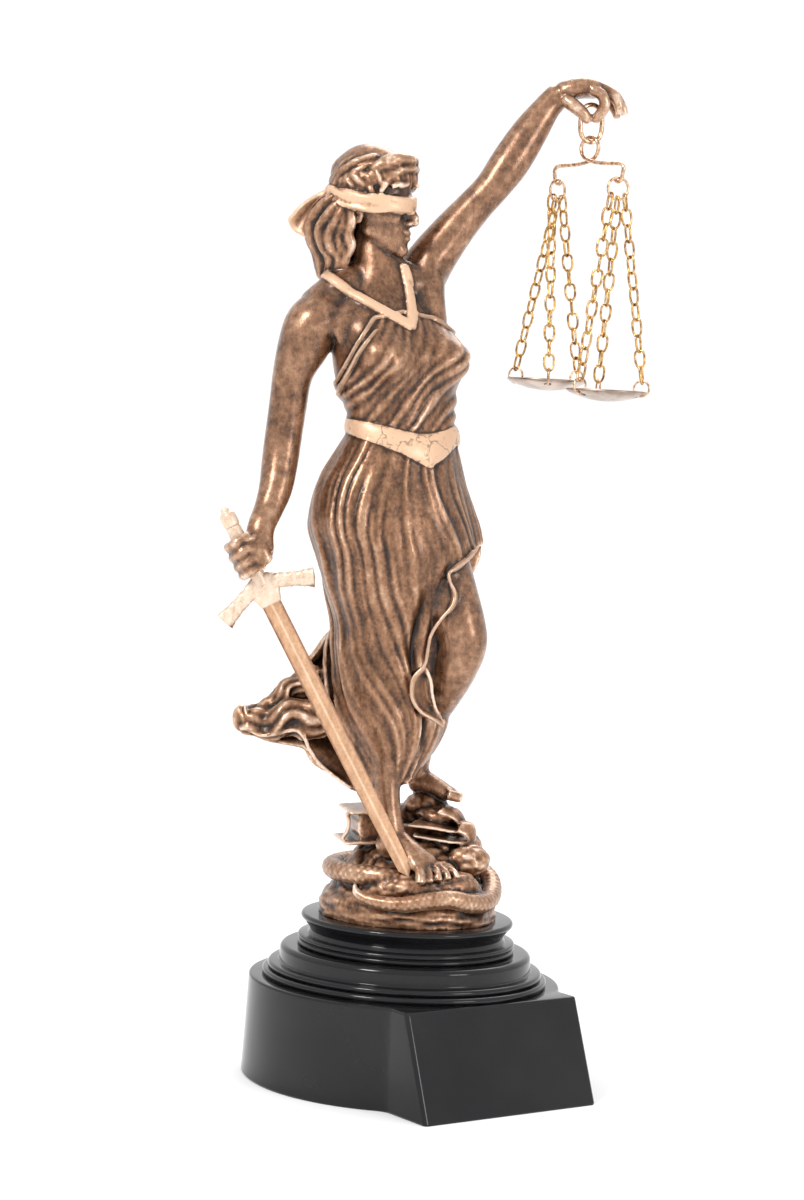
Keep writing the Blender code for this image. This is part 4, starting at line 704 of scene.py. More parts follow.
skirtRows = [(*row, torsoTurn) for row in (
    (-10.6, 0.0, 221.5, 19.4, 14.2),
    (-12.0, 0.0, 212.0, 23.0, 17.0),
    (-13.0, 0.4, 204.0, 26.4, 19.6),
    (-12.6, 0.6, 196.0, 29.2, 21.6),
    (-11.4, 0.6, 187.5, 30.6, 23.0),
    (-9.6, 0.6, 178.5, 28.8, 22.6),
    (-10.6, 0.4, 167.0, 23.6, 20.4),
    (-11.8, 0.2, 156.0, 18.0, 18.0),
    (-12.6, 0.0, 146.0, 16.6, 17.0),
    (-11.0, -0.6, 135.0, 17.2, 17.4),
    (-8.6, -1.6, 125.0, 17.6, 17.4),
    (-8.0, -2.8, 116.0, 14.6, 14.8),
    (-8.4, -5.0, 107.5, 9.8, 10.4),
    (-8.8, -7.4, 101.5, 6.4, 7.0),
)]


def hemX(z):
    rows = sorted((row[2], row[0]) for row in hemPath)
    return np.interp(z, [row[0] for row in rows], [row[1] for row in rows])


def drape(angle, z, along):
    # pleats fan out from the belt, run down the legs and gather towards the front foot
    fall = (221.5 - z) / 120.0
    left = np.exp(-((((angle + 150 + 180) % 360 - 180) / 70.0) ** 2))
    sweep = 46.0 * soft((fall - 0.42) / 0.58) * left + 16.0 * fall**2
    warp = 3.2 * np.sin(z / 17.0 - angle / 31.0) + 2.0 * np.sin(z / 7.9 + angle / 14.0)
    turn = angle - sweep + warp + 5.0 * np.sin(np.radians(3 * angle) + 5 * fall)
    fine, middle, broad = dress["pleatCounts"]
    fineDepth, middleDepth, broadDepth = dress["pleatDepths"]
    folds = fineDepth * unevenPleats(turn * fine / 360.0, 1.0, fall) * (1 - 0.45 * soft((fall - 0.2) / 0.3))
    folds = folds + middleDepth * unevenPleats(turn * middle / 360.0 + 0.3, 2.0, fall * 1.1)
    wave = unevenPleats(turn * broad / 360.0 + 0.6, 3.0) + 0.1
    folds = folds + broadDepth * wave * soft((fall - 0.12) / 0.4)
    trough = np.exp(-(((angle + 92 - 34 * (fall - 0.5)) / 6.5) ** 2))
    trough = trough * soft((fall - 0.4) / 0.16) * soft((1.02 - fall) / 0.2)
    row = blend(skirtRows, along)
    swing = np.radians(torsoTurn)
    wide, far = row[:, 3] * np.cos(np.radians(angle)), row[:, 4] * np.sin(np.radians(angle))
    x = row[:, 0] + wide * np.cos(swing) - far * np.sin(swing)
    facing = (angle + 207) % 360 < 180
    bare = facing * soft((x - hemX(z) + 0.2) / 0.7) * soft((184.0 - z) / 1.5) * soft((z - 124.0) / 2.0)
    calm = 1 - 0.6 * left * soft((fall - 0.3) / 0.3)
    calm = calm * (0.78 + 0.34 * np.sin(np.radians(4 * angle) + z / 8.0) * np.sin(z / 15.0 + 1.0))
    return folds * calm + 0.55 - 3.4 * trough - 4.5 * bare


def skirt():
    return tube(skirtRows, 300, 240, ends=(0.01, 0.03), shape=drape)


def legShells():
    leftLeg = [
        (-4.0, 2.0, 196.0, 10.5, 10.5),
        (1.5, -2.0, 184.0, 10.8, 10.4),
        (7.4, -6.0, 170.0, 9.6, 9.4),
        (12.2, -9.0, 157.5, 8.8, 8.8),
        (13.8, -9.6, 150.5, 8.2, 8.6),
        (11.6, -6.5, 142.0, 7.6, 8.2),
        (7.6, -1.6, 133.5, 7.2, 8.2),
        (3.8, 3.4, 125.0, 6.3, 7.4),
        (1.4, 7.4, 115.0, 5.2, 5.8),
        (0.6, 8.6, 108.0, 4.5, 4.9),
        (0.2, 9.0, 101.0, 4.2, 4.4),
    ]
    leftFoot = [
        (-2.4, 9.4, 100.6, 3.4, 3.6),
        (1.8, 8.6, 101.2, 4.2, 4.3),
        (6.6, 7.2, 99.6, 4.2, 3.7),
        (11.2, 6.0, 98.0, 4.4, 2.7),
        (14.4, 5.2, 97.2, 3.8, 2.0),
    ]
    rightLeg = [
        (-14.0, -4.0, 190.0, 11.5, 11.0),
        (-14.0, -6.0, 165.0, 9.6, 9.6),
        (-13.0, -8.0, 148.0, 8.4, 8.6),
        (-11.6, -8.4, 130.0, 7.4, 8.0),
        (-10.0, -10.5, 112.0, 5.4, 5.6),
        (-9.0, -12.6, 99.0, 4.4, 4.5),
        (-7.6, -14.2, 90.0, 4.3, 4.6),
        (-6.2, -15.4, 83.0, 4.6, 5.0),
    ]
    rightFoot = [
        (-9.6, -11.0, 79.0, 4.0, 4.2),
        (-6.0, -14.4, 82.4, 4.6, 5.4),
        (-1.8, -18.4, 81.0, 4.5, 4.4),
        (2.6, -21.8, 78.6, 5.6, 3.4),
        (6.4, -24.2, 76.2, 6.6, 2.4),
    ]
    legs = [
        tube(leftLeg, 36, 80, side=(1, 0, 0), ends=(0.08, 0.05)),
        tube(rightLeg, 30, 60, side=(1, 0, 0), ends=(0.08, 0.08)),
    ]
    feet = [
        tube(leftFoot, 20, 24, side=(0.2, 1, 0), ends=(0.12, 0.14)),
        tube(rightFoot, 24, 26, side=(0.8, 0.6, 0), ends=(0.12, 0.16)),
    ]
    for index in range(5):
        # the toes of the front foot
        size = 1.8 if index == 0 else 1.48 - 0.08 * index
        root = (2.6 + 2.5 * index, -24.2 + 1.2 * index, 76.6 - 0.2 * index)
        middle = (3.4 + 2.9 * index, -27.8 + 1.5 * index, 75.2 - 0.1 * index)
        tip = (3.8 + 3.1 * index, -30.4 + 1.8 * index, 71.4 + 0.35 * index)
        feet.append(cord([root, middle, tip], (size, size * 0.92, size * 1.02), 14, 20, side=(1, 0, 0)))
    for index in range(5):
        # the toes of the foot behind
        size = 2.0 if index == 4 else 1.6
        root = (11.4, 9.0 - 1.9 * index, 97.8)
        tip = (15.4 + 0.35 * index, 8.6 - 1.9 * index, 96.9)
        feet.append(cord([root, tip], (size, size * 0.9), 12, 14, side=(0, 1, 0)))
    return legs, feet


hemPath = (
    (17.8, -3.0, 184.0),
    (14.4, -9.6, 179.8),
    (10.2, -14.2, 176.4),
    (7.8, -16.2, 174.6),
    (8.2, -16.8, 171.8),
    (10.0, -16.6, 168.0),
    (9.4, -17.4, 163.8),
    (5.6, -18.4, 158.6),
    (2.8, -18.8, 153.4),
    (2.0, -19.0, 147.6),
    (1.2, -19.0, 143.4),
    (-2.4, -19.6, 138.6),
    (-2.4, -19.8, 132.6),
    (0.6, -19.2, 127.9),
    (5.6, -17.2, 124.9),
    (9.0, -14.4, 122.4),
)


def hem():
    return cord(hemPath, (0.75, 0.7), 12, 170, side=(0, 0, 1))


def clothShells():
    # the lining, the blown tail of the skirt and the rolled flap below the knee
    lining = [
        (-2.0, 2.0, 200.0, 14.0, 14.0, 0),
        (0.0, 1.0, 172.0, 13.5, 12.0, 0),
        (0.0, 0.0, 146.0, 11.0, 11.0, 0),
        (-2.0, 1.0, 125.0, 10.0, 11.0, 0),
        (-4.0, 2.0, 108.0, 7.0, 8.0, 0),
    ]
    back = [
        [(-20, 8, 158), (-16, 11, 138), (-14, 9, 114), (-13, -1, 99)],
        [(-28.9, 6, 153.6), (-27, 13, 138), (-25, 10, 116), (-20.3, -6, 98.6)],
        [(-33.5, 6, 149.6), (-33, 13, 136), (-31, 9, 118), (-27.6, -4, 103.0)],
        [(-37.2, 6, 143.3), (-37.5, 12, 133), (-36, 8, 120), (-33.8, -3, 106.6)],
        [(-42.9, 4, 135.6), (-43, 9, 129), (-42, 5, 120), (-37.6, -2, 111.4)],
        [(-46.6, 4, 132.6), (-47, 6, 127), (-46.5, 3, 120), (-44, -1, 112.1)],
        [(-51.8, 2, 125.8), (-52, 4, 123), (-52, 2, 118), (-51, 0, 112.7)],
        [(-57.6, 2, 124.2), (-58, 3, 122), (-58, 1, 118.5), (-57, 0, 114.8)],
        [(-62.0, 0, 123.0), (-62.6, 1, 121.5), (-62.4, 0, 119.5), (-61, 0, 117.4)],
    ]
    inner = [
        [(-16, -6, 150), (-14, -10, 130), (-12, -11, 112), (-10, -10, 102)],
        [(-26, -3, 150), (-24, -8, 132), (-20, -10, 114), (-15, -10, 101)],
        [(-30, 4, 150), (-29, -3, 134), (-25, -6, 118), (-18, -8, 101)],
    ]
    flap = [
        [(0.6, -18.6, 142.4), (-2.2, -19.0, 137.4), (-1.4, -18.6, 130.6), (6.6, -15.8, 124.6)],
        [(2.2, -14.6, 140.4), (2.0, -15.0, 136.4), (3.2, -14.6, 131.6), (7.4, -13.4, 127.0)],
    ]

    def ruffles(u, v):
        return 0.9 * soft(u * 1.4) * np.sin(16 * v + 5 * u) + 0.5 * np.sin(33 * v - 6 * u) * soft(u * 2)

    def creases(u, v):
        return 0.8 * unevenPleats(5 * v + 1.2 * u, 0.7)

    def twisted(angle, _, along):
        line = (angle + 70 * along + 16 * np.sin(13 * along)) / 44.0
        lumps = 0.7 * np.sin(19 * along + angle / 60) * np.sin(math.pi * along)
        return 1.5 * (unevenPleats(line, 5.0) + 0.1) + lumps

    roll = [
        (-29.0, -1.0, 121.0, 5.0, 3.0),
        (-36.0, -1.6, 121.5, 6.6, 3.8),
        (-41.5, -1.8, 121.6, 6.6, 4.0),
        (-47.0, -1.4, 120.4, 5.6, 3.8),
        (-52.5, -1.0, 119.2, 5.2, 3.4),
        (-57.5, -0.6, 119.4, 4.6, 3.2),
        (-60.5, -0.4, 119.8, 3.6, 2.8),
    ]
    crest = [
        (-33.5, 4.0, 138.0, 3.6, 2.6),
        (-39.5, 3.4, 133.6, 3.8, 2.8),
        (-44.6, 3.0, 130.6, 3.6, 2.8),
        (-49.0, 2.0, 126.6, 3.2, 2.6),
        (-53.5, 1.6, 122.6, 2.6, 2.4),
        (-57.0, 1.0, 121.6, 2.2, 2.2),
    ]
    lip = [
        (-60.6, -2.4, 122.4),
        (-57.6, -3.8, 117.4),
        (-53.0, -4.8, 115.4),
        (-48.5, -5.2, 116.0),
        (-44.0, -5.6, 117.4),
        (-40.5, -5.6, 117.6),
        (-37.8, -5.4, 114.8),
        (-36.2, -4.8, 111.4),
        (-32.4, -4.8, 106.6),
        (-27.0, -5.6, 102.6),
        (-21.0, -7.2, 98.8),
    ]
    edge = [(-59.4, -1.6, 125.2), (-58.2, -3.4, 121.4), (-57.2, -3.6, 117.6), (-57.0, -2.6, 115.4)]
    flapEdge = [
        (1.6, -18.0, 142.6),
        (3.6, -17.2, 138.0),
        (4.4, -16.8, 133.3),
        (6.0, -16.0, 128.4),
        (9.0, -14.4, 123.6),
    ]
    pocket = [
        (-31.2, 3.4, 152.6),
        (-32.8, 2.4, 146.0),
        (-32.4, 1.4, 137.0),
        (-30.4, 0.0, 127.0),
        (-26.6, -2.0, 116.0),
    ]
    return [
        tube(lining, 30, 40, ends=(0.1, 0.1)),
        sheet(back, 1.9, 60, ruffles),
        sheet(inner, 2.2, 40, creases),
        sheet(flap, 1.5, 16),
        tube(roll, 90, 110, side=(0, 0, 1), ends=(0.08, 0.1), shape=twisted),
        tube(crest, 60, 70, side=(0, 0, 1), ends=(0.1, 0.1), shape=twisted),
        ball((-60.6, 0.4, 120.4), (2.9, 2.9, 4.7), sides=30, rings=22),
        cord(lip, (0.6, 0.75, 0.75, 0.7), 12, 90, side=(0, 0, 1)),
        cord(edge, (0.55, 0.55), 10, 30, side=(0, 1, 0)),
        cord(flapEdge, (0.8, 0.7, 0.6), 12, 40, side=(0, 1, 0)),
        cord(pocket, (0.7, 0.9, 0.8), 12, 50, side=(0, 1, 0)),
    ]


# Mound, book, pages and snake


def chipped(points, size=6.4, depth=1.4):
    # stone broken in facets with clefts between them, and in level layers near the foot
    lifts = []
    for point in points:
        spot = Vector((point[0], point[1], 1.9 * point[2])) / size
        away = noise.voronoi(spot)[0]
        cleft = min((away[1] - away[0]) * 3.6, 0.5)
        rock = depth * (cleft - 0.3) + 0.35 * noise.noise(spot * 2.3) + 0.2 * noise.noise(spot * 5.1)
        flow = noise.noise(Vector((point[0] / 9.0, point[1] / 9.0, point[2] / 1.5)))
        low = min(max((67.0 - point[2]) / 4.0, 0.0), 1.0)
        lifts.append(rock * (1 - 0.75 * low) + 0.9 * flow * low)
    return np.array(lifts)


def boulder(centre, radii, turn=0.0, size=6.4, depth=1.4, sides=90):
    bm = ball(centre, radii, turn, sides, sides * 2 // 3)
    return relief(bm, lambda points: chipped(points, size, depth))


def moundShells():
    foot = pose["table"]
    rows = [
        (2.0, 6.0, 88.0, 9.0, 8.0, 0),
        (1.0, 4.0, 80.0, 17.0, 15.5, 0),
        (0.0, 2.0, 73.0, 22.0, 21.0, 0),
        (-0.6, 0.6, 67.0, 25.0, 25.4, 0),
        (-0.4, 0.2, 63.4, 28.4, 28.0, 0),
        (-0.2, 0.0, 60.0, 30.0, 29.6, 0),
        (-0.2, 0.0, foot - 2.0, 30.2, 29.8, 0),
    ]
    shelf = [
        (6.0, -18.0, 74.0, 14.0, 6.0, 12),
        (6.0, -19.0, 70.0, 18.0, 8.0, 12),
        (4.0, -17.0, 64.0, 22.0, 10.0, 8),
        (2.0, -16.0, foot - 1.0, 24.0, 11.6, 6),
    ]
    return [
        relief(tube(rows, 200, 130, ends=(0.05, 0.005)), lambda points: chipped(points, 9.0, 2.0)),
        relief(tube(shelf, 120, 60, ends=(0.1, 0.01)), chipped),
        boulder((19.6, -6.0, 76.6), (7.6, 6.4, 5.4), 20),
        boulder((15.0, 6.0, 80.0), (9.4, 9.0, 5.4), 0),
        boulder((9.0, 4.0, 90.4), (8.4, 8.4, 3.4), 10, 4.4, 1.0),
        boulder((4.4, 7.6, 92.6), (8.0, 6.4, 5.0), 30, 4.4, 1.0),
        boulder((1.0, 10.0, 87.0), (10.0, 9.0, 6.4), 0),
        boulder((-12.0, 12.0, 84.0), (9.0, 9.0, 6.0), 0),
        boulder((8.0, -13.6, 74.0), (7.4, 5.4, 3.4), 10, 3.2, 0.9),
    ]


def slab(size, centre):
    bm = bmesh.new()
    bmesh.ops.create_cube(bm, size=1.0)
    move = Matrix.Translation(centre) @ Matrix.Diagonal((*size, 1.0))
    bmesh.ops.transform(bm, matrix=move, verts=bm.verts[:])
    return bm


def bookShells():
    # a closed book under her right heel, and loose leaves under the other foot
    shells = []
    lie = Matrix.Translation((-15.0, 0.5, 86.7)) @ Matrix.Rotation(math.radians(14), 4, "Z")
    lie = lie @ Matrix.Rotation(math.radians(-4), 4, "Y")
    parts = [((17.0, 21.0, 1.2), (0.0, 0, 5.2)), ((19.0, 22.0, 1.2), (-0.8, 0, -5.2))]
    for leaf in range(7):
        reach = 14.2 - 0.5 * (leaf % 2) - 0.5 * abs(leaf - 3)
        parts.append(((reach, 19.6, 1.15), (1.0, 0, -3.9 + 1.3 * leaf)))
    for size, shift in parts:
        shell = slab(size, shift)
        bmesh.ops.bevel(
            shell,
            geom=shell.edges[:],
            offset=0.35,
            offset_type="OFFSET",
            segments=2,
            profile=0.5,
            affect="EDGES",
            material=-1,
        )
        bmesh.ops.transform(shell, matrix=lie, verts=shell.verts[:])
        shells.append(shell)
    spine = [(-23.6, -8.6, 81.8), (-21.8, -9.0, 85.2), (-21.6, -9.0, 88.4), (-22.6, -8.6, 91.4)]
    shells.append(cord(spine, (0.8, 0.8), 10, 24, side=(0, 1, 0)))
    leaves = (
        [
            [(-2, -10.5, 88.0), (1, -4, 88.8), (4, 4, 89.0)],
            [(6, -10.6, 87.4), (8, -4, 88.2), (9, 4, 88.4)],
            [(13, -7.6, 86.2), (14, -2, 86.8), (15, 5, 87.2)],
            [(18.0, -4.6, 85.6), (19, 0, 86.8), (18, 5, 87.0)],
        ],
        [
            [(0, -11.0, 84.6), (2, -4, 85.0), (4, 4, 85.0)],
            [(8, -11.0, 83.6), (9, -4, 84.0), (10, 4, 84.2)],
            [(15, -8.6, 82.6), (16, -2, 83.2), (17, 5, 83.4)],
            [(20.6, -4.6, 82.4), (21.4, 0, 83.4), (20, 5, 83.8)],
        ],
        [
            [(15.4, -7.2, 86.4), (16.4, -3, 88.6), (15.6, 1, 88.6)],
            [(18.6, -5.6, 84.4), (20.6, -2, 88.0), (19.6, 2, 88.4)],
            [(21.0, -3.6, 80.6), (22.0, 0, 84.0), (21.4, 3, 86.6)],
        ],
        [
            [(8.0, -5.4, 92.4), (10, -1, 93.4), (10, 5, 93.4)],
            [(13.4, -4.2, 90.4), (15.4, 0, 91.8), (15, 5, 92.2)],
            [(16.6, -1.8, 86.8), (18.2, 2, 88.6), (17.4, 6, 89.6)],
        ],
    )
    shells += [sheet(grid, 0.9, 18) for grid in leaves]
    return shells


snakePath = (
    (-18.2, -26.6, 70.4),
    (-17.0, -28.0, 67.0),
    (-11.6, -29.8, 64.9),
    (-2.0, -31.2, 64.4),
    (7.0, -30.6, 66.0),
    (14.0, -28.8, 66.6),
    (20.5, -24.6, 65.0),
    (26.0, -16.5, 64.4),
    (28.4, -6.0, 66.0),
    (27.2, 5.0, 69.4),
    (20.4, 15.6, 71.6),
    (7.0, 23.0, 72.0),
    (-9.0, 23.0, 71.6),
    (-21.0, 15.0, 71.2),
    (-26.4, 3.0, 71.2),
    (-25.0, -9.0, 71.4),
    (-18.4, -18.0, 71.8),
    (-9.5, -22.0, 72.0),
    (0.0, -21.6, 71.0),
)


def scales(angle, _, along):
    # crossed grooves make lozenges round the body
    turns = along * 78.0
    crossed = pleats(angle / 60.0 + turns, 0.04) + pleats(angle / 60.0 - turns, 0.04)
    return 0.3 * crossed


def snake():
    radii = (0.5, 2.0, 2.9, 3.2, 3.3, 3.3, 3.3, 3.4, 3.4, 3.4, 3.0)
    return cord(snakePath, radii, 54, 800, side=(0, 0, 1), shape=scales)


# One cast from all the shells

cast = {
    "voxel": 0.5,
    "easing": 2,
    "skinEasing": 14,
    "easeShare": 0.5,
    "skinReach": 0.9,
    "dressReach": 1.0,
    "faces": 196000,
    "grain": 0.07,
    # the broad rise form is used in the colour as painted shade in broad hollows and painted highlight on
    # broad bulges
    "forms": {"crest": (8, 4.5), "rise": (70, 0.9)},  # rounds of easing, and gain
    "giltReach": 0.55,
}


def joinShells(shells):
    whole = bmesh.new()
    carrier = bpy.data.meshes.new("carrier")
    for shell in shells:
        shell.to_mesh(carrier)
        whole.from_mesh(carrier)
    bpy.data.meshes.remove(carrier)
    return whole


def keepLargest(bm):
    # drops any crumb that isn't part of the main body
    seen, bodies = set(), []
    bm.verts.index_update()
    for first in bm.verts:
        if first.index in seen:
            continue
        body, queue = [], [first]
        seen.add(first.index)
        while queue:
            vert = queue.pop()
            body.append(vert)
            for edge in vert.link_edges:
                other = edge.other_vert(vert)
                if other.index not in seen:
                    seen.add(other.index)
                    queue.append(other)
        bodies.append(body)
    bodies.sort(key=len)
    crumbs = [vert for body in bodies[:-1] for vert in body]
    bmesh.ops.delete(bm, geom=crumbs, context="VERTS")


def evaluated(holder):
    graph = bpy.context.evaluated_depsgraph_get()
    return bpy.data.meshes.new_from_object(holder.evaluated_get(graph))


def carry(mesh, name="carrier"):
    holder = bpy.data.objects.new(name, mesh)
    bpy.context.scene.collection.objects.link(holder)
    return holder


def drop(holder):
    mesh = holder.data
    bpy.data.objects.remove(holder, do_unlink=True)
    bpy.data.meshes.remove(mesh)


def getArray(items, field, width, kind=float):
    values = np.empty(len(items) * width, kind)
    items.foreach_get(field, values)
    return values.reshape(-1, width) if width > 1 else values


def easedPoints(points, edges, rounds):
    # each point moves towards the mean of its neighbours
    one, two = edges[:, 0], edges[:, 1]
    count = len(points)
    near = np.bincount(one, minlength=count) + np.bincount(two, minlength=count)
    near = np.maximum(near, 1)[:, None]
    for _ in range(rounds):
        total = np.stack(
            [
                np.bincount(one, points[two, axis], count) + np.bincount(two, points[one, axis], count)
                for axis in range(3)
            ],
            1,
        )
        points = points + cast["easeShare"] * (total / near - points)
    return points


def remeshed(shells, voxel):
    whole = bpy.data.meshes.new("hull")
    joinShells(shells).to_mesh(whole)
    holder = carry(whole)
    hull = holder.modifiers.new("Hull", "REMESH")
    hull.mode = "VOXEL"
    hull.voxel_size = voxel
    made = evaluated(holder)
    drop(holder)
    bm = bmesh.new()
    bm.from_mesh(made)
    keepLargest(bm)
    bm.to_mesh(made)
    bm.free()
    return made


def thinned(mesh, faces):
    holder = carry(mesh)
    thin = holder.modifiers.new("Thin", "DECIMATE")
    thin.ratio = min(1.0, faces / (2 * len(mesh.polygons)))
    made = evaluated(holder)
    drop(holder)
    return made


def setAttribute(mesh, name, values):
    layer = mesh.attributes.new(name, "FLOAT", "POINT")
    layer.data.foreach_set("value", np.asarray(values, np.float32))


def figurePlace(seat=0.0):
    # from the figure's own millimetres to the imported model's frame
    turn = Matrix.Rotation(math.radians(pose["turn"]), 4, "Z")
    lift = Matrix.Translation((0, 0, baseTop + seat * mm))
    return lift @ turn @ Matrix.Scale(mm, 4) @ Matrix.Translation((0, 0, -pose["table"]))


def place(x, y, z):
    return figurePlace() @ Vector((x, y, z))


def cutFlat(mesh, height):
    # slices the cast level, so that it sits flat on the disc
    bm = bmesh.new()
    bm.from_mesh(mesh)
    parts = bm.verts[:] + bm.edges[:] + bm.faces[:]
    sliced = bmesh.ops.bisect_plane(
        bm, geom=parts, dist=1e-5, plane_co=(0, 0, height), plane_no=(0, 0, 1), clear_inner=True
    )
    rim = [item for item in sliced["geom_cut"] if isinstance(item, bmesh.types.BMEdge)]
    bmesh.ops.edgeloop_fill(bm, edges=rim)
    bmesh.ops.triangulate(bm, faces=bm.faces[:])
    bm.to_mesh(mesh)
    bm.free()


def nearness(points, shells, reach):
    # 1 on the shells, falling to -1 away from them
    tree = BVHTree.FromBMesh(joinShells(shells))
    away = []
    for point in points:
        hit = tree.find_nearest(Vector(point), 2 * reach + 0.1)
        away.append(9.0 if hit[3] is None else hit[3])
    return np.clip(1.0 - np.array(away) / reach, -1, 1)


def makeFigure(finish):
    bands = [belt(), *collar(plainBody()), *blindfoldShells()]
    trims = [*dressEdges(), hem()]
    legs, feet = legShells()
    skin = [*rightArmShells(), *leftArmShells(), *shoulderShells(), *legs]
    fine = [*headShells(), *rightHandShells(), *leftHandShells(), *feet]
    shells = [*torsoShells(), skirt(), snake(), *hairShells(), *clothShells(), *moundShells(), *bookShells()]
    whole = shells + bands + trims + skin + fine
    mesh = remeshed(whole, cast["voxel"])
    report(f"figure hull with {len(mesh.polygons)} faces")
    points = getArray(mesh.vertices, "co", 3)
    edges = getArray(mesh.edges, "vertices", 2, np.int32)
    points = easedPoints(points, edges, cast["easing"])
    bare = np.clip(nearness(points, skin, cast["skinReach"]) * 2, 0, 1)
    dressed = np.clip(nearness(points, bands + trims, cast["dressReach"]) + 0.6, 0, 1)
    share = (bare * (1 - dressed))[:, None]
    points = points + share * (easedPoints(points, edges, cast["skinEasing"]) - points)
    mesh.vertices.foreach_set("co", points.ravel())
    mesh.update()
    normals = getArray(mesh.vertices, "normal", 3)
    spots = map(Vector, points)
    grain = np.array([noise.noise(spot * 0.9) + 0.5 * noise.noise(spot * 2.1) for spot in spots])
    points = points + normals * (grain * cast["grain"])[:, None] * (1 - 0.6 * share)
    mesh.vertices.foreach_set("co", points.ravel())
    for name, (rounds, gain) in cast["forms"].items():
        # how far each point stands out from the form around it; the broad rise later gives painted shade in
        # broad hollows and painted highlight on broad bulges
        out = np.sum((points - easedPoints(points, edges, rounds)) * normals, 1)
        setAttribute(mesh, name, np.clip(out * gain, -1, 1))
    fineSkin = np.clip(nearness(points, fine, cast["skinReach"]) * 2, 0, 1)
    setAttribute(mesh, "bare", np.maximum(share[:, 0], fineSkin))
    mesh = thinned(mesh, cast["faces"])
    report(f"figure thinned to {len(mesh.polygons)} faces")
    points = getArray(mesh.vertices, "co", 3)
    for name, painted in (("gilt", bands), ("trim", trims), ("vine", bands[:1])):
        setAttribute(mesh, name, nearness(points, painted, cast["giltReach"]))
    for shell in whole:
        shell.free()
    cutFlat(mesh, pose["table"])
    mesh.transform(figurePlace(pose["seat"]))
    return addPiece("cast_figure", mesh, finish, ["figure"], smoothAngle=None)


def addPiece(name, mesh, finish, nodes, smoothAngle=35):
    mesh.materials.clear()
    mesh.materials.append(finish)
    piece = carry(mesh, name)
    mesh.name = name
    mesh.shade_smooth()
    if smoothAngle:
        mesh.set_sharp_from_angle(angle=math.radians(smoothAngle))
    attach(piece, "root")
    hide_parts(*nodes)
    return piece


def toMesh(bm, name):
    mesh = bpy.data.meshes.new(name)
    bm.to_mesh(mesh)
    bm.free()
    return mesh


def combined(shells, name, operation="UNION"):
    # the first shell joined with the others, or cut by them
    holder, *helpers = [carry(toMesh(shell, name), name) for shell in shells]
    for helper in helpers:
        step = holder.modifiers.new(operation, "BOOLEAN")
        step.operation = operation
        step.solver = "EXACT"
        step.object = helper
    made = evaluated(holder)
    for helper in [holder, *helpers]:
        drop(helper)
    return made


def turned(profile, steps):
    # a profile of radii and heights, spun once round the upright axis
    bm = bmesh.new()
    verts = [bm.verts.new((radius, 0, z)) for radius, z in profile]
    edges = [bm.edges.new(pair) for pair in zip(verts, verts[1:])]
    middle, angle = (0, 0, 0), 2 * math.pi
    bmesh.ops.spin(
        bm, geom=verts + edges, cent=middle, axis=(0, 0, 1), angle=angle, steps=steps, use_merge=True
    )
    bmesh.ops.remove_doubles(bm, verts=bm.verts[:], dist=1e-6)
    faceOut(bm)
    return bm


# Base

stand = {
    "footRadius": 54.2 * mm,
    "topRadius": 53.3 * mm,
    "drumHeight": 34.2 * mm,
    "blockWidth": 72.1 * mm,
    "blockFootReach": 62.6 * mm,
    "blockTopReach": 49.7 * mm,
    "fillet": 6.0 * mm,
    "corner": 1.6 * mm,
    "edge": 1.0 * mm,
    "lowRing": (48.8 * mm, 2.3 * mm),
    "secondRing": (47.0 * mm, 2.3 * mm),
    "band": (43.1 * mm, 6.0 * mm),
    "bead": (37.2 * mm, 1.9 * mm),
    "neck": (33.2 * mm, 3.2 * mm),
    "disc": (36.4 * mm, 4.0 * mm),
    "steps": 144,
}


def arcPoints(centreX, centreY, radius, start, end, steps):
    points = []
    for step in range(steps + 1):
        angle = math.radians(start + (end - start) * step / steps)
        points.append((centreX + radius * math.cos(angle), centreY + radius * math.sin(angle)))
    return points


def blockOutline(radius, reach, inset=0.0):
    # half outline from the drum's back round to the middle of the front, then mirrored
    half = stand["blockWidth"] / 2
    fillet = stand["fillet"]
    middleX = half + fillet
    middleY = -math.sqrt((radius + fillet) ** 2 - middleX**2)
    meet = math.degrees(math.atan2(middleY, middleX))
    corner = stand["corner"]
    points = arcPoints(0, 0, radius - inset, 90, meet, 56)
    points += arcPoints(middleX, middleY, fillet + inset, meet + 180, 180, 10)[1:]
    points += arcPoints(half - corner, -reach + corner, corner - inset, 0, -90, 6)
    return points + [(-x, y) for x, y in reversed(points[1:])]


def blockShell():
    bm = bmesh.new()
    edge = stand["edge"]
    straight = stand["drumHeight"] - edge
    foot = [(0.0, 0.45 * mm), (0.6 * mm, 0.0)]
    rising = [(straight + lift, edge - inset) for inset, lift in arcPoints(0, 0, edge, 0, 90, 6)]
    rings = []
    for z, inset in [*foot, *rising]:
        share = min(z / straight, 1.0)
        radius = stand["footRadius"] + (stand["topRadius"] - stand["footRadius"]) * share
        reach = stand["blockFootReach"] + (stand["blockTopReach"] - stand["blockFootReach"]) * share
        rings.append([(x, y, z) for x, y in blockOutline(radius, reach, inset)])
    verts = [bm.verts.new(point) for point in rings[0]]
    face = bm.faces.new(verts)
    for ring in rings[1:]:
        made = bmesh.ops.extrude_face_region(bm, geom=[face])
        newFace = [item for item in made["geom"] if isinstance(item, bmesh.types.BMFace)][0]
        for loop, point in zip(sorted(newFace.verts, key=lambda vert: vert.index), ring):
            loop.co = point
        face = newFace
    faceOut(bm)
    return bm


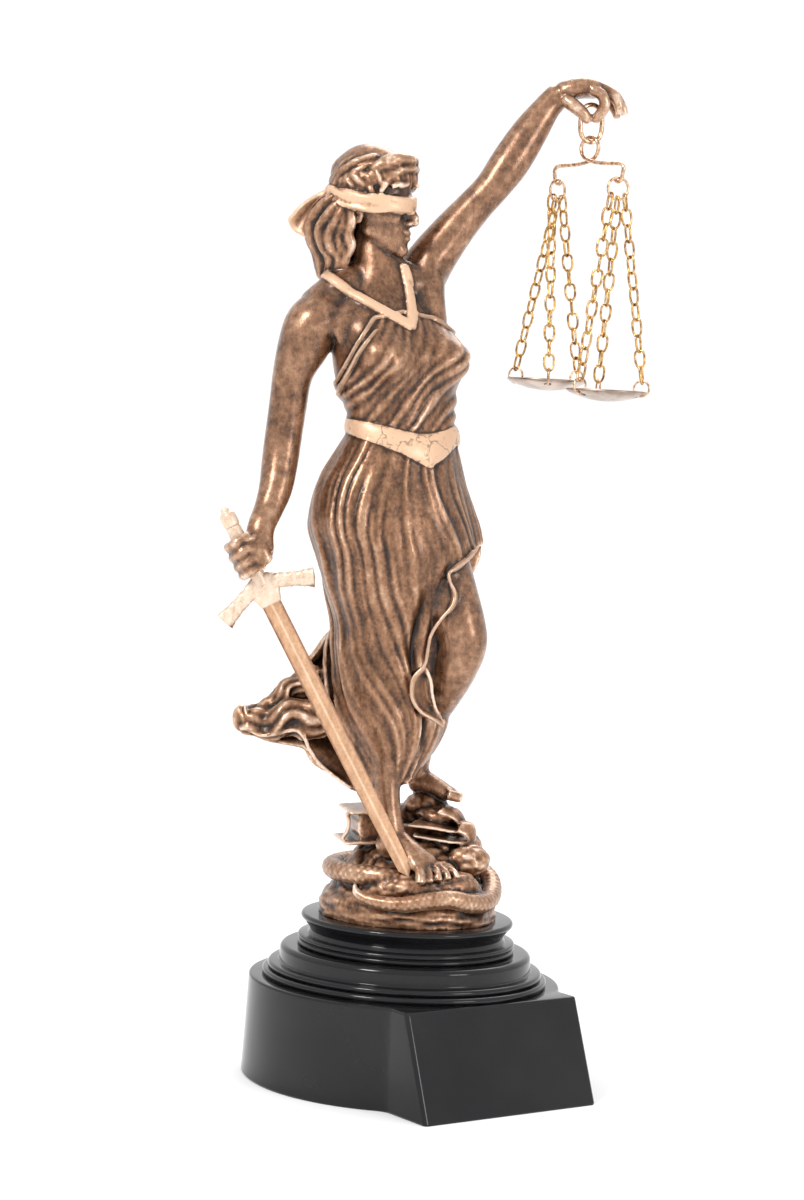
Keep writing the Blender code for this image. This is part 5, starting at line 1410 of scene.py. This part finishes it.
def riserProfile():
    # from the drum's top up to the disc that carries the figure
    z = stand["drumHeight"] - 1.0 * mm
    lowRadius, lowHeight = stand["lowRing"]
    profile = [(0, z), (lowRadius - 1.0 * mm, z)]
    z = stand["drumHeight"]
    profile += arcPoints(lowRadius - lowHeight / 2, z + lowHeight / 2, lowHeight / 2, -65, 90, 12)
    z += lowHeight
    radius, height = stand["secondRing"]
    profile += arcPoints(radius - height / 2, z + height / 2, height / 2, -70, 80, 12)
    z += height
    radius, height = stand["band"]
    shoulder = height * 0.32
    profile += arcPoints(radius + 0.7 * mm, z + 0.7 * mm, 0.7 * mm, -90, -180, 4)
    profile += arcPoints(radius - shoulder, z + height - shoulder, shoulder, 0, 90, 10)
    z += height
    radius, height = stand["bead"]
    profile += [(radius - height / 2 - 0.5 * mm, z)]
    for _ in range(2):
        profile += arcPoints(radius - height / 2, z + height / 2, height / 2, -75, 75, 9)
        z += height
    neckRadius, neckHeight = stand["neck"]
    discRadius, discHeight = stand["disc"]
    flare = discRadius - neckRadius
    profile += [(neckRadius + 0.9 * mm, z + 0.1 * mm)]
    sweep = [(neckRadius, z + neckHeight * 0.45), (neckRadius + 0.1 * flare, z + neckHeight * 0.75)]
    profile += sweep
    z += neckHeight
    profile += [(neckRadius + 0.3 * flare, z), (neckRadius + 0.62 * flare, z + discHeight * 0.26)]
    tip = discHeight * 0.28
    profile += arcPoints(discRadius - tip, z + discHeight - tip, tip, -45, 90, 10)
    profile += [(0, z + discHeight)]
    return profile


def makeBase(finish):
    mesh = combined([blockShell(), turned(riserProfile(), stand["steps"])], "black_base")
    return addPiece("black_base", mesh, finish, ["base"])


# Sword

blade = {
    "length": 108.0 * mm,
    "width": 6.6 * mm,
    "thickness": 2.2 * mm,
    "guardSpan": 17.0 * mm,
    "guardHeight": 5.2 * mm,
    "guardDepth": 4.0 * mm,
    "guardDroop": 22.0,
    "gripRadius": 2.5 * mm,
    "gripLength": 20.5 * mm,
    "pommelRadius": 2.8 * mm,
    "plate": ((-2.4, 3.2, 1.8), (-0.4, 4.6, 1.9), (1.8, 5.0, 1.9), (4.0, 4.3, 1.8), (6.2, 3.5, 1.6)),
    "armSwell": (1.3, 1.0, 0.92, 1.0, 1.3, 1.0, 0.92, 1.0, 1.3),
}


def makeSword(finish):
    start = place(*grip["middle"])
    turn = Matrix.Rotation(math.radians(pose["turn"]), 3, "Z")
    down, _, right = (turn @ axis for axis in gripFrame()[1:])
    guardAt = start + down * blade["gripLength"] * 0.66
    pommelAt = guardAt - down * blade["gripLength"] * 1.3
    width, thickness, length = blade["width"], blade["thickness"], blade["length"]
    steel = [
        (*(guardAt - down * 1.0 * mm), width / 2, thickness / 2),
        (*(guardAt + down * (length * 0.35)), width * 0.5, thickness * 0.5),
        (*(guardAt + down * (length * 0.7)), width * 0.45, thickness * 0.45),
        (*(guardAt + down * length), width * 0.34, thickness * 0.4),
    ]
    knob, hold = blade["pommelRadius"], blade["gripRadius"]
    profile = (
        (-knob * 1.05, knob * 0.3),
        (-knob * 0.75, knob * 0.5),
        (-knob * 0.4, knob * 0.6),
        (-knob * 0.1, knob * 0.92),
        (knob * 0.6, knob),
        (knob * 1.3, knob * 0.96),
        (knob * 1.5, knob * 0.82),
        (knob * 1.8, hold),
        (blade["gripLength"] * 0.6, hold * 1.08),
        (blade["gripLength"] * 1.3 + 1.0 * mm, hold),
    )
    handle = [(*(pommelAt + down * run), radius, radius) for run, radius in profile]
    droop = math.tan(math.radians(blade["guardDroop"]))
    arms = []
    for step, thick in enumerate(blade["armSwell"]):
        out = (step / 4 - 1) * blade["guardSpan"]
        low = math.sqrt(out**2 + (2 * mm) ** 2) * droop - 2.4 * mm
        point = guardAt + right * out + down * low
        arms.append((*point, blade["guardHeight"] / 2 * thick, blade["guardDepth"] / 2))

    def beaten(angle, _, along):
        return 0.12 * mm * (np.sin(60 * along + angle / 17) + np.sin(97 * along - angle / 11))

    shells = [
        tube(steel, 8, 40, side=tuple(right), power=1.05, ends=(0.01, 0.05), crisp=True),
        tube(handle, 28, 60, side=tuple(right), ends=(0.02, 0.02), crisp=True),
        tube(arms, 24, 60, side=tuple(down), power=3.5, ends=(0.02, 0.02), crisp=True, shape=beaten),
    ]
    plate = [(*(guardAt + down * run * mm), half * mm, deep * mm) for run, half, deep in blade["plate"]]
    shells.append(tube(plate, 20, 16, side=tuple(right), power=3.0, ends=(0.02, 0.02), crisp=True))
    mesh = combined(shells, "gilt_sword")
    points = getArray(mesh.vertices, "co", 3) - np.array(guardAt)
    setAttribute(mesh, "run", points @ np.array(down) / mm)
    setAttribute(mesh, "across", np.abs(points @ np.array(right)) / mm)
    return addPiece("gilt_sword", mesh, finish, ["sword"])


# Rings, beam, chains and pans

scaleSet = {
    "clearance": 0.3 * mm,
    "ringWire": 1.6 * mm,
    "ringInner": (6.8 * mm, 11.2 * mm),
    "ringTurn": 26.0,
    "beamWire": 1.3 * mm,
    "beamHalfSpan": 16.2 * mm,
    "beamTurn": -47.2,
    "loop": (7.4 * mm, 8.6 * mm),
    "hookRadius": 1.7 * mm,
    "hookRingWire": 0.9 * mm,
    "hookRingRadius": 3.7 * mm,
    "ringSpread": 44.0,
    "linkWire": 0.8 * mm,
    "linkWidth": 4.2 * mm,
    "linkCount": 12,
    "panRadius": 13.8 * mm,
    "panDepth": 3.1 * mm,
    "panWall": 0.9 * mm,
    "panHole": 2.6 * mm,
    "panRingWire": 0.7 * mm,
    "panRingRadius": 2.7 * mm,
    "touch": 0.05 * mm,
}
pans = {
    "left": {"side": -1, "ringTurn": 45.0, "panTurn": 150.0, "hang": 62.6 * mm},
    "right": {"side": 1, "ringTurn": 18.0, "panTurn": -20.0, "hang": 65.6 * mm},
}
up = Vector((0, 0, 1))


def level(angle):
    # a level direction, as an angle in the figure's own frame
    turn = math.radians(pose["turn"] + angle)
    return Vector((math.cos(turn), math.sin(turn), 0))


def wireMesh(name, paths, radius, cyclic=True, detail=4):
    # bent wires, each a smooth curve with a round section
    curve = bpy.data.curves.new(name, "CURVE")
    curve.dimensions = "3D"
    curve.bevel_depth = radius
    curve.bevel_resolution = detail
    curve.use_fill_caps = True
    for path in paths:
        spline = curve.splines.new("POLY")
        spline.points.add(len(path) - 1)
        for target, point in zip(spline.points, path):
            target.co = (*point, 1.0)
        spline.use_cyclic_u = cyclic
    holder = bpy.data.objects.new(name, curve)
    bpy.context.scene.collection.objects.link(holder)
    mesh = evaluated(holder)
    bpy.data.objects.remove(holder, do_unlink=True)
    bpy.data.curves.remove(curve)
    bm = bmesh.new()
    bm.from_mesh(mesh)
    bmesh.ops.remove_doubles(bm, verts=bm.verts[:], dist=1e-6)
    bmesh.ops.recalc_face_normals(bm, faces=bm.faces[:])
    bm.to_mesh(mesh)
    bm.free()
    return mesh


def ovalPath(centre, across, along, halfWidth, halfLength, count):
    straight = max(halfLength - halfWidth, 0.0)
    points = []
    for step in range(count):
        angle = 2 * math.pi * (step + 0.5) / count
        rise = halfWidth * math.sin(angle) + math.tanh(3.0 * math.sin(angle)) * straight
        points.append(Vector(centre) + across * halfWidth * math.cos(angle) + along * rise)
    return points


def heldRing():
    # it hangs from the pinch of thumb and forefinger
    wire = scaleSet["ringWire"]
    inner = scaleSet["ringInner"]
    middle = place(48.3, 18.2, 329.9)
    return middle, level(scaleSet["ringTurn"]), (inner[0] + wire) / 2, (inner[1] + wire) / 2


def beamFrame():
    middle, _, _, halfHeight = heldRing()
    low = middle.z - halfHeight + scaleSet["ringWire"] / 2 + scaleSet["clearance"] + scaleSet["beamWire"] / 2
    along = level(scaleSet["beamTurn"])
    return Vector((middle.x, middle.y, low)), along, Vector((-along.y, along.x, 0))


def beamRoute():
    top, along, across = beamFrame()
    loopWidth, loopHeight = scaleSet["loop"]
    low = -loopHeight + 0.6 * mm
    wide = loopWidth / 2
    part = scaleSet["beamWire"] * 0.75
    span = scaleSet["beamHalfSpan"]
    hook = scaleSet["hookRadius"]
    half = [
        (0, 0, 0),
        (wide * 0.75, 0, -loopHeight * 0.12),
        (wide, part * 0.4, -loopHeight * 0.4),
        (wide * 0.62, part * 0.9, -loopHeight * 0.74),
        (-wide * 0.2, part, low),
        (-wide * 1.3, part * 0.8, low - 0.9 * mm),
        (-span * 0.62, part * 0.3, low - 1.3 * mm),
        (-span + hook, 0, low - 1.5 * mm),
        (-span - 0.2 * mm, 0, low - 2.6 * mm),
        (-span, 0, low - 5.2 * mm),
        (-span + 0.4 * hook, 0, low - 7.2 * mm),
        (-span + 1.4 * hook, 0, low - 7.6 * mm),
        (-span + 2.1 * hook, 0, low - 6.2 * mm),
    ]
    other = [(-x, -y, z) for x, y, z in half[1:]]
    route = [*reversed(half), *other]
    points = [tuple(top + along * x + across * y + up * z) for x, y, z in route]
    return blend(points, np.linspace(0, 1, 180))


def hookLow(side):
    top, along, _ = beamFrame()
    low = -scaleSet["loop"][1] + 0.6 * mm - 7.6 * mm + scaleSet["beamWire"] / 2
    return top + along * side * (scaleSet["beamHalfSpan"] - scaleSet["hookRadius"]) + up * low


def dishHeight(radius):
    # how far the outside of a pan lies below its rim
    rim, depth = scaleSet["panRadius"], scaleSet["panDepth"]
    sphere = (rim**2 + depth**2) / (2 * depth)
    return math.sqrt(sphere**2 - radius**2) - sphere + depth


def linkPath(centre, across, along, halfWidth, halfLength, count=18):
    # a bent wire link, squarer at one end than the other
    points = []
    for step in range(count):
        angle = 2 * math.pi * (step + 0.5) / count
        cosine, sine = math.cos(angle), math.sin(angle)
        squash = 1.0 if sine > 0 else 0.62
        wide = math.copysign(abs(cosine) ** squash, cosine) * (1.0 - 0.1 * sine)
        tall = math.copysign(abs(sine) ** 0.8, sine)
        points.append(Vector(centre) + across * halfWidth * wide + along * halfLength * tall)
    return points


def makeChain(name, start, end, firstTangent, lastTangent, finish):
    # interlinked links that touch at their ends, every second one turned a quarter
    wire, count = scaleSet["linkWire"], scaleSet["linkCount"]
    ahead = (end - start).normalized()
    start = start - ahead * (scaleSet["hookRingWire"] / 2 + wire / 2 + scaleSet["clearance"])
    end = end + ahead * (scaleSet["panRingWire"] / 2 + wire / 2 + scaleSet["clearance"])
    pitch = ((end - start).length - wire + 2 * scaleSet["touch"]) / count
    halfLength = pitch / 2 + wire / 2 - scaleSet["touch"]
    first = (firstTangent - firstTangent.dot(ahead) * ahead).normalized()
    last = (lastTangent - lastTangent.dot(ahead) * ahead).normalized()
    other = ahead.cross(first)
    twist = math.atan2(last.dot(other), last.dot(first))
    whole = math.pi / 2 * (count - 1)
    twist += math.pi * round((whole - twist) / math.pi)
    paths = []
    for index in range(count):
        angle = twist * index / (count - 1)
        normal = first * math.cos(angle) + other * math.sin(angle)
        centre = start + ahead * (halfLength + pitch * index)
        halfWidth = (scaleSet["linkWidth"] - wire) / 2
        paths.append(linkPath(centre, ahead.cross(normal), ahead, halfWidth, halfLength))
    mesh = wireMesh(name, paths, wire / 2, detail=2)
    return addPiece(f"{name}_links", mesh, finish, [name], smoothAngle=None)


def makePan(name, rim, holes, finish):
    radius, depth, wall = scaleSet["panRadius"], scaleSet["panDepth"], scaleSet["panWall"]
    sphere = (radius**2 + depth**2) / (2 * depth)
    sweep = math.asin(radius / sphere)
    steps = 18
    outer = [
        (sphere * math.sin(sweep * step / steps), sphere * (1 - math.cos(sweep * step / steps)) - depth)
        for step in range(steps + 1)
    ]
    inner = [(r * (1 - wall / sphere), z + wall) for r, z in reversed(outer)]
    lip = arcPoints(outer[-1][0] - wall / 2, wall / 2, wall / 2, -60, 90, 6)
    profile = outer[:-1] + lip + inner[1:]
    dish = turned(profile, 96)
    bmesh.ops.translate(dish, vec=rim, verts=dish.verts[:])
    drills = []
    for hole in holes:
        drill = bmesh.new()
        bmesh.ops.create_cone(
            drill,
            cap_ends=True,
            segments=28,
            radius1=scaleSet["panHole"] / 2,
            radius2=scaleSet["panHole"] / 2,
            depth=depth * 3,
            matrix=Matrix.Translation(hole),
        )
        drills.append(drill)
    mesh = combined([dish, *drills], f"{name}_dish", "DIFFERENCE")
    return addPiece(f"{name}_dish", mesh, finish, [name])


def makeScalePan(name, settings, finishes):
    ringFinish, chainFinish, panFinish = finishes
    across = level(settings["ringTurn"])
    ringRadius = scaleSet["hookRingRadius"]
    lift = scaleSet["clearance"] + scaleSet["hookRingWire"] / 2 - ringRadius
    ringMiddle = hookLow(settings["side"]) + up * lift
    path = ovalPath(ringMiddle, across, up, ringRadius, ringRadius, 40)
    node = f"{name}_hook_ring"
    mesh = wireMesh(node, [path], scaleSet["hookRingWire"] / 2)
    addPiece(f"{node}_wire", mesh, ringFinish, [node], smoothAngle=None)
    rim = ringMiddle - up * (ringRadius + settings["hang"])
    outs = [level(settings["panTurn"] + 120 * index) for index in range(3)]
    ranked = sorted(range(3), key=lambda index: outs[index].dot(across))
    spreadAngle = scaleSet["ringSpread"]
    panRing = scaleSet["panRingRadius"]
    holes = []
    for index, out in enumerate(outs):
        holeRadius = scaleSet["panRadius"] - scaleSet["panHole"]
        wall = scaleSet["panWall"]
        inside = Vector((holeRadius, wall / 2 - dishHeight(holeRadius)))
        edge = scaleSet["panRadius"] + scaleSet["panRingWire"] / 2 + scaleSet["clearance"] * 2
        outside = Vector((edge, wall / 2))
        half = (outside - inside) / 2
        rise = math.sqrt(panRing**2 - half.length**2)
        middle = (inside + outside) / 2 + rise * Vector((-half.y, half.x)).normalized()
        ringCentre = rim + out * middle.x + up * middle.y
        path = ovalPath(ringCentre, out, up, panRing, panRing, 32)
        node = f"{name}_pan_ring_{index + 1}"
        mesh = wireMesh(node, [path], scaleSet["panRingWire"] / 2)
        addPiece(f"{node}_wire", mesh, ringFinish, [node], smoothAngle=None)
        spread = math.radians((-spreadAngle, 0, spreadAngle)[ranked.index(index)])
        radial = math.sin(spread) * across - math.cos(spread) * up
        tangent = math.cos(spread) * across + math.sin(spread) * up
        start = ringMiddle + ringRadius * radial
        end = ringCentre + up * panRing
        makeChain(f"{name}_chain_{index + 1}", start, end, tangent, out, chainFinish)
        holes.append(rim + out * holeRadius)
    makePan(f"{name}_pan", rim, holes, panFinish)


def makeScales(finishes):
    middle, across, halfWidth, halfHeight = heldRing()
    path = ovalPath(middle, across, up, halfWidth, halfHeight, 56)
    mesh = wireMesh("hanging_ring_wire", [path], scaleSet["ringWire"] / 2, detail=5)
    addPiece("hanging_ring_wire", mesh, finishes[0], ["hanging_ring"], smoothAngle=None)
    mesh = wireMesh("beam_wire", [beamRoute()], scaleSet["beamWire"] / 2, cyclic=False, detail=5)
    addPiece("beam_wire", mesh, finishes[0], ["scale_beam"], smoothAngle=60)
    for name, settings in pans.items():
        makeScalePan(name, settings, finishes)
        report(f"{name} pan, rings and chains")


# Finishes


class Value:
    # a socket whose sums make Math nodes

    def __init__(self, paint, socket):
        self.paint, self.socket = paint, socket

    def sum(self, operation, other, swap=False):
        inputs = [other, self] if swap else [self, other]
        return self.paint.node("ShaderNodeMath", {"operation": operation}, inputs)

    def __add__(self, other):
        return self.sum("ADD", other)

    __radd__ = __add__

    def __mul__(self, other):
        return self.sum("MULTIPLY", other)

    __rmul__ = __mul__

    def __sub__(self, other):
        return self.sum("SUBTRACT", other)

    def __rsub__(self, other):
        return self.sum("SUBTRACT", other, swap=True)

    def clamp(self):
        return self.paint.node("ShaderNodeClamp", {}, [self])

    def above(self, low, high):
        # 0 below low, 1 above high, smooth between
        values = {"Value": self, "From Min": low, "From Max": high}
        return self.paint.node("ShaderNodeMapRange", {"interpolation_type": "SMOOTHSTEP"}, values)


class Paint:
    # one material and its nodes

    def __init__(self, name):
        self.material = bpy.data.materials.new(name)
        self.material.use_nodes = True
        self.tree = self.material.node_tree
        self.shader = self.tree.nodes["Principled BSDF"]

    def node(self, kind, settings=None, inputs=None, output=0):
        made = self.tree.nodes.new(kind)
        for field, value in (settings or {}).items():
            if field == "stops":
                ramp = made.color_ramp
                while len(ramp.elements) < len(value):
                    ramp.elements.new(0.5)
                for stop, (position, colour) in zip(ramp.elements, value):
                    stop.position, stop.color = position, (*colour, 1.0)
            else:
                setattr(made, field, value)
        pairs = inputs.items() if isinstance(inputs, dict) else enumerate(inputs or [])
        for key, value in pairs:
            self.feed(made.inputs[key], value)
        return Value(self, made.outputs[output])

    def feed(self, socket, value):
        if isinstance(value, Value):
            self.tree.links.new(value.socket, socket)
        elif socket.type == "RGBA" and len(value) == 3:
            socket.default_value = (*value, 1.0)
        else:
            socket.default_value = value

    def place(self):
        return self.node("ShaderNodeTexCoord", output="Object")

    def attribute(self, name):
        return self.node("ShaderNodeAttribute", {"attribute_name": name}, output="Fac")

    def cloud(self, where, scale, detail=3.0, roughness=0.55):
        inputs = {"Vector": where, "Scale": scale, "Detail": detail, "Roughness": roughness}
        return self.node("ShaderNodeTexNoise", {"noise_dimensions": "3D"}, inputs)

    def ramp(self, value, stops):
        return self.node("ShaderNodeValToRGB", {"stops": stops}, [value], output="Color")

    def mix(self, share, first, second):
        # a colour Mix, whose colour sockets are the seventh and eighth
        inputs = {"Factor": share, 6: first, 7: second}
        return self.node("ShaderNodeMix", {"data_type": "RGBA"}, inputs, output=2)

    def bump(self, height, strength, distance):
        inputs = {"Strength": strength, "Distance": distance, "Height": height}
        return self.node("ShaderNodeBump", {}, inputs)

    def finish(self, **sockets):
        for name, value in sockets.items():
            self.feed(self.shader.inputs[name.replace("_", " ")], value)
        return self.material


bronze = {
    "depth": (0.012, 0.006, 0.004),
    "shade": (0.055, 0.026, 0.014),
    "body": (0.160, 0.074, 0.036),
    "brown": (0.30, 0.150, 0.078),
    "copper": (0.47, 0.285, 0.178),
    "crest": (0.78, 0.59, 0.46),
    "gold": (0.70, 0.45, 0.29),
    "goldShade": (0.30, 0.15, 0.08),
    "goldLine": (0.085, 0.035, 0.018),
    "tones": {"depth": 0.12, "shade": 0.30, "body": 0.46, "brown": 0.62, "copper": 0.80, "crest": 0.96},
    "blotch": (70.0, 3.0, 0.55),  # scale, detail and roughness of each cloud
    "speck": (1700.0, 2.0, 0.6),
    "mottle": (310.0, 5.0, 0.68),
    "streakScale": 520.0,
    "middle": 0.47,
    "crackleScale": 95.0,
    "crackleBend": 0.006,
    "bendScale": 330.0,
    "roughness": 0.33,
    "coatRoughness": 0.27,
}


def streaked(paint, where, scale, stretch=(1.0, 1.0, 0.28)):
    # brush marks that run up and down
    tall = paint.node("ShaderNodeVectorMath", {"operation": "MULTIPLY"}, [where, stretch], output="Vector")
    return paint.cloud(tall, scale, 4.0, 0.6)


def bronzeFinish():
    paint = Paint("bronzeWithGilt")
    where = paint.place()
    crest, rise, bare = paint.attribute("crest"), paint.attribute("rise"), paint.attribute("bare")
    blotch, speck, mottle = (paint.cloud(where, *bronze[name]) for name in ("blotch", "speck", "mottle"))
    streak = streaked(paint, where, bronze["streakScale"])
    marks = (blotch - 0.5) * 0.36 + (streak - 0.5) * (0.46 - bare * 0.28) + (speck - 0.5) * 0.2
    marks = marks + (mottle - 0.5) * (0.36 + bare * 0.54)
    # rise darkens broad hollows and lightens broad bulges: painted shade and painted highlight
    tone = crest * (0.40 - bare * 0.18) + rise * 0.28 + bronze["middle"] + marks
    stops = [(at, bronze[name]) for name, at in bronze["tones"].items()]
    metalTone = paint.ramp(tone.clamp(), stops)
    gilt, trim = paint.attribute("gilt"), paint.attribute("trim")
    worn = marks + crest * 0.55
    goldTone = paint.mix(worn.above(-0.30, 0.06), bronze["goldShade"], bronze["gold"])
    # thin carved lines on the belt
    inputs = {"Vector": where, "Scale": bronze["bendScale"], "Detail": 2.0}
    bend = paint.node("ShaderNodeTexNoise", {}, inputs, output="Color")
    inputs = [bend, (bronze["crackleBend"],) * 3, where]
    bent = paint.node("ShaderNodeVectorMath", {"operation": "MULTIPLY_ADD"}, inputs, output="Vector")
    inputs = {"Vector": bent, "Scale": bronze["crackleScale"]}
    crackle = paint.node("ShaderNodeTexVoronoi", {"feature": "DISTANCE_TO_EDGE"}, inputs)
    vine = (1 - crackle.above(0.008, 0.045)) * paint.attribute("vine").above(0.1, 0.4)
    goldTone = paint.mix(vine * streak.above(0.36, 0.56) * 0.6, goldTone, bronze["goldLine"])
    ridge = (gilt + (streak - 0.5) * 0.2).above(0.18, 0.40)
    copperEdge = (trim + (streak - 0.5) * 0.4).above(0.2, 0.5) * 0.7
    outline = gilt.above(-0.9, -0.2) * (1 - ridge) * 0.6
    base = paint.mix(outline, metalTone, bronze["shade"])
    base = paint.mix(copperEdge, base, bronze["copper"])
    base = paint.mix(ridge, base, goldTone)
    grain = streak * 0.5 + speck * 0.5 - vine * ridge * 0.8
    return paint.finish(
        Base_Color=base,
        Roughness=bronze["roughness"] + (streak - 0.5) * 0.24 + ridge * 0.10 - bare * 0.05,
        Metallic=0.62 - ridge * 0.30,
        Coat_Weight=0.28 + bare * 0.22,
        Coat_Roughness=bronze["coatRoughness"],
        Normal=paint.bump(grain, 0.30, 0.0003),
    )


gilding = {
    "cream": (
        (0.14, (0.22, 0.115, 0.065)),
        (0.40, (0.50, 0.33, 0.22)),
        (0.62, (0.72, 0.55, 0.42)),
        (0.88, (0.82, 0.68, 0.56)),
    ),
    "tan": (
        (0.12, (0.16, 0.070, 0.035)),
        (0.38, (0.40, 0.21, 0.115)),
        (0.60, (0.60, 0.36, 0.21)),
        (0.88, (0.80, 0.58, 0.41)),
    ),
    "hiltEnd": (5.6, 6.8),  # millimetres down the blade from the guard
    "bladeEdge": (2.2, 3.1),
    "ridgeHighlightHalf": 0.7,
}


def goldFinish():
    paint = Paint("goldSword")
    where = paint.place()
    run, across = paint.attribute("run"), paint.attribute("across")
    streak = streaked(paint, where, 420.0, (1.0, 1.0, 0.45))
    speck = paint.cloud(where, 1300.0, 3.0, 0.6)
    marks = (streak - 0.5) * 0.7 + (speck - 0.5) * 0.5
    hilt = paint.ramp((marks + 0.62).clamp(), gilding["cream"])
    # a paler line painted along the blade's middle ridge is a painted highlight
    ridge = 1 - across.above(0.0, gilding["ridgeHighlightHalf"])
    edge = across.above(*gilding["bladeEdge"])
    steel = paint.ramp((marks * 0.7 + ridge * 0.25 - edge * 0.3 + 0.52).clamp(), gilding["tan"])
    return paint.finish(
        Base_Color=paint.mix(run.above(*gilding["hiltEnd"]), hilt, steel),
        Roughness=0.38 + (speck - 0.5) * 0.25,
        Metallic=0.30,
        Normal=paint.bump(streak * 0.5 + speck * 0.5, 0.35, 0.0002),
    )


# dark and light colour, roughness, and scale of the blotches
metals = {
    "brassWire": ((0.42, 0.24, 0.13), (0.86, 0.62, 0.43), 0.28, 700.0),
    "goldChain": ((0.30, 0.15, 0.06), (0.82, 0.53, 0.20), 0.26, 500.0),
    "brassPan": ((0.26, 0.19, 0.15), (0.56, 0.45, 0.38), 0.30, 90.0),
}


def wireFinish(name, dark, light, roughness, scale):
    paint = Paint(name)
    where = paint.place()
    blotch = paint.cloud(where, scale, 3.0, 0.6)
    colour = paint.mix(blotch.above(0.35, 0.65), dark, light)
    return paint.finish(
        Base_Color=colour,
        Roughness=roughness + (blotch - 0.5) * 0.15,
        Metallic=1.0,
        Normal=paint.bump(blotch, 0.15, 0.0001),
    )


gloss = {"dark": (0.006, 0.006, 0.007), "light": (0.011, 0.011, 0.012), "roughness": 0.08, "ior": 1.38}


def blackFinish():
    paint = Paint("blackGloss")
    where = paint.place()
    haze = paint.cloud(where, 40.0, 3.0, 0.5)
    dust = paint.cloud(where, 900.0, 2.0, 0.5)
    ripple = paint.cloud(where, 60.0, 2.0, 0.4)
    return paint.finish(
        Base_Color=paint.mix(haze.above(0.3, 0.8), gloss["dark"], gloss["light"]),
        Roughness=gloss["roughness"] + haze * 0.07 + dust.above(0.6, 0.8) * 0.06,
        IOR=gloss["ior"],
        Normal=paint.bump(ripple, 0.05, 0.002),
    )


# Studio: floor, lights and camera

studio = {
    "distance": 0.970,
    "height": 0.223,
    "azimuth": -37.4,
    "yaw": 0.45,
    "pitch": 3.5,
    "roll": 3.1,
    "focalPixels": 2851.8,
    "picture": (804, 1200),
    "sensor": 36.0,
    "floor": (0.94, 0.94, 0.94),
    "world": 1.0,
    "floorFront": -3.5,
    "floorHalfWidth": 6.0,
    "floorReach": 1.1,
    "bend": 1.4,
    "wall": 3.2,
    "aim": 0.2,
    # steps towards the camera, to the right and up, then power and size
    "lamps": {
        "key": ((0.9, -0.7, 1.1), 11.0, 0.32),
        "fill": ((0.9, 1.1, 0.5), 4.0, 0.4),
        "rim": ((-0.9, 0.2, 1.2), 7.0, 0.8),
    },
}


def sweptFloor():
    # a floor that rises into a wall behind the trophy in one smooth bend
    reach, bend, wall = studio["floorReach"], studio["bend"], studio["wall"]
    profile = [(studio["floorFront"], 0), (reach, 0)]
    profile += [(reach + x, bend + z) for x, z in arcPoints(0, 0, bend, -90, 0, 24)[1:]]
    profile.append((reach + bend, bend + wall))
    bm = bmesh.new()
    half = studio["floorHalfWidth"]
    verts = [bm.verts.new((-half, y, z)) for y, z in profile]
    edges = [bm.edges.new(pair) for pair in zip(verts, verts[1:])]
    made = bmesh.ops.extrude_edge_only(bm, edges=edges)
    moved = [item for item in made["geom"] if isinstance(item, bmesh.types.BMVert)]
    bmesh.ops.translate(bm, vec=(2 * half, 0, 0), verts=moved)
    turn = Matrix.Rotation(math.radians(studio["azimuth"]), 4, "Z")
    bmesh.ops.transform(bm, matrix=turn, verts=bm.verts[:])
    bmesh.ops.recalc_face_normals(bm, faces=bm.faces[:])
    return bm


def makeStudio():
    floor = carry(toMesh(sweptFloor(), "studio_floor"), "studio_floor")
    floor.data.shade_smooth()
    paint = Paint("paleFloor")
    floor.data.materials.append(paint.finish(Base_Color=studio["floor"], Roughness=0.9, IOR=1.1))
    world = bpy.data.worlds.new("studio")
    world.use_nodes = True
    world.node_tree.nodes["Background"].inputs[0].default_value = (1.0, 1.0, 1.0, 1.0)
    world.node_tree.nodes["Background"].inputs[1].default_value = studio["world"]
    bpy.context.scene.world = world
    facing = math.radians(studio["azimuth"])
    back = Vector((math.sin(facing), -math.cos(facing), 0))
    right = Vector((math.cos(facing), math.sin(facing), 0))
    for name, ((near, side, rise), power, size) in studio["lamps"].items():
        light = bpy.data.lights.new(name, "AREA")
        light.energy, light.size = power, size
        lamp = bpy.data.objects.new(name, light)
        spot = back * near + right * side + up * rise
        lamp.location = spot
        lamp.rotation_euler = (up * studio["aim"] - spot).to_track_quat("-Z", "Y").to_euler()
        bpy.context.scene.collection.objects.link(lamp)
    bpy.context.scene.view_settings.view_transform = "Standard"


def makeCamera():
    azimuth = math.radians(studio["azimuth"])
    facing = azimuth + math.radians(studio["yaw"])
    pitch, roll = math.radians(studio["pitch"]), math.radians(studio["roll"])
    back = Vector((math.sin(facing) * math.cos(pitch), -math.cos(facing) * math.cos(pitch), math.sin(pitch)))
    right = Vector((math.cos(facing), math.sin(facing), 0))
    above = back.cross(right)
    acrossPicture = math.cos(roll) * right + math.sin(roll) * above
    upPicture = math.cos(roll) * above - math.sin(roll) * right
    view = Matrix((acrossPicture, upPicture, back)).transposed().to_4x4()
    distance = studio["distance"]
    view.translation = (distance * math.sin(azimuth), -distance * math.cos(azimuth), studio["height"])
    lens = bpy.data.cameras.new("camera")
    lens.sensor_fit = "VERTICAL"
    lens.sensor_height = studio["sensor"]
    lens.sensor_width = studio["sensor"] * studio["picture"][0] / studio["picture"][1]
    lens.lens = studio["focalPixels"] / studio["picture"][1] * studio["sensor"]
    camera = bpy.data.objects.new("camera", lens)
    camera.matrix_world = view
    bpy.context.scene.collection.objects.link(camera)
    bpy.context.scene.camera = camera


makeCamera()
makeStudio()
report("studio and camera")
makeBase(blackFinish())
report("base")
makeFigure(bronzeFinish())
report("figure")
makeSword(goldFinish())
report("sword")
makeScales([wireFinish(name, *look) for name, look in metals.items()])
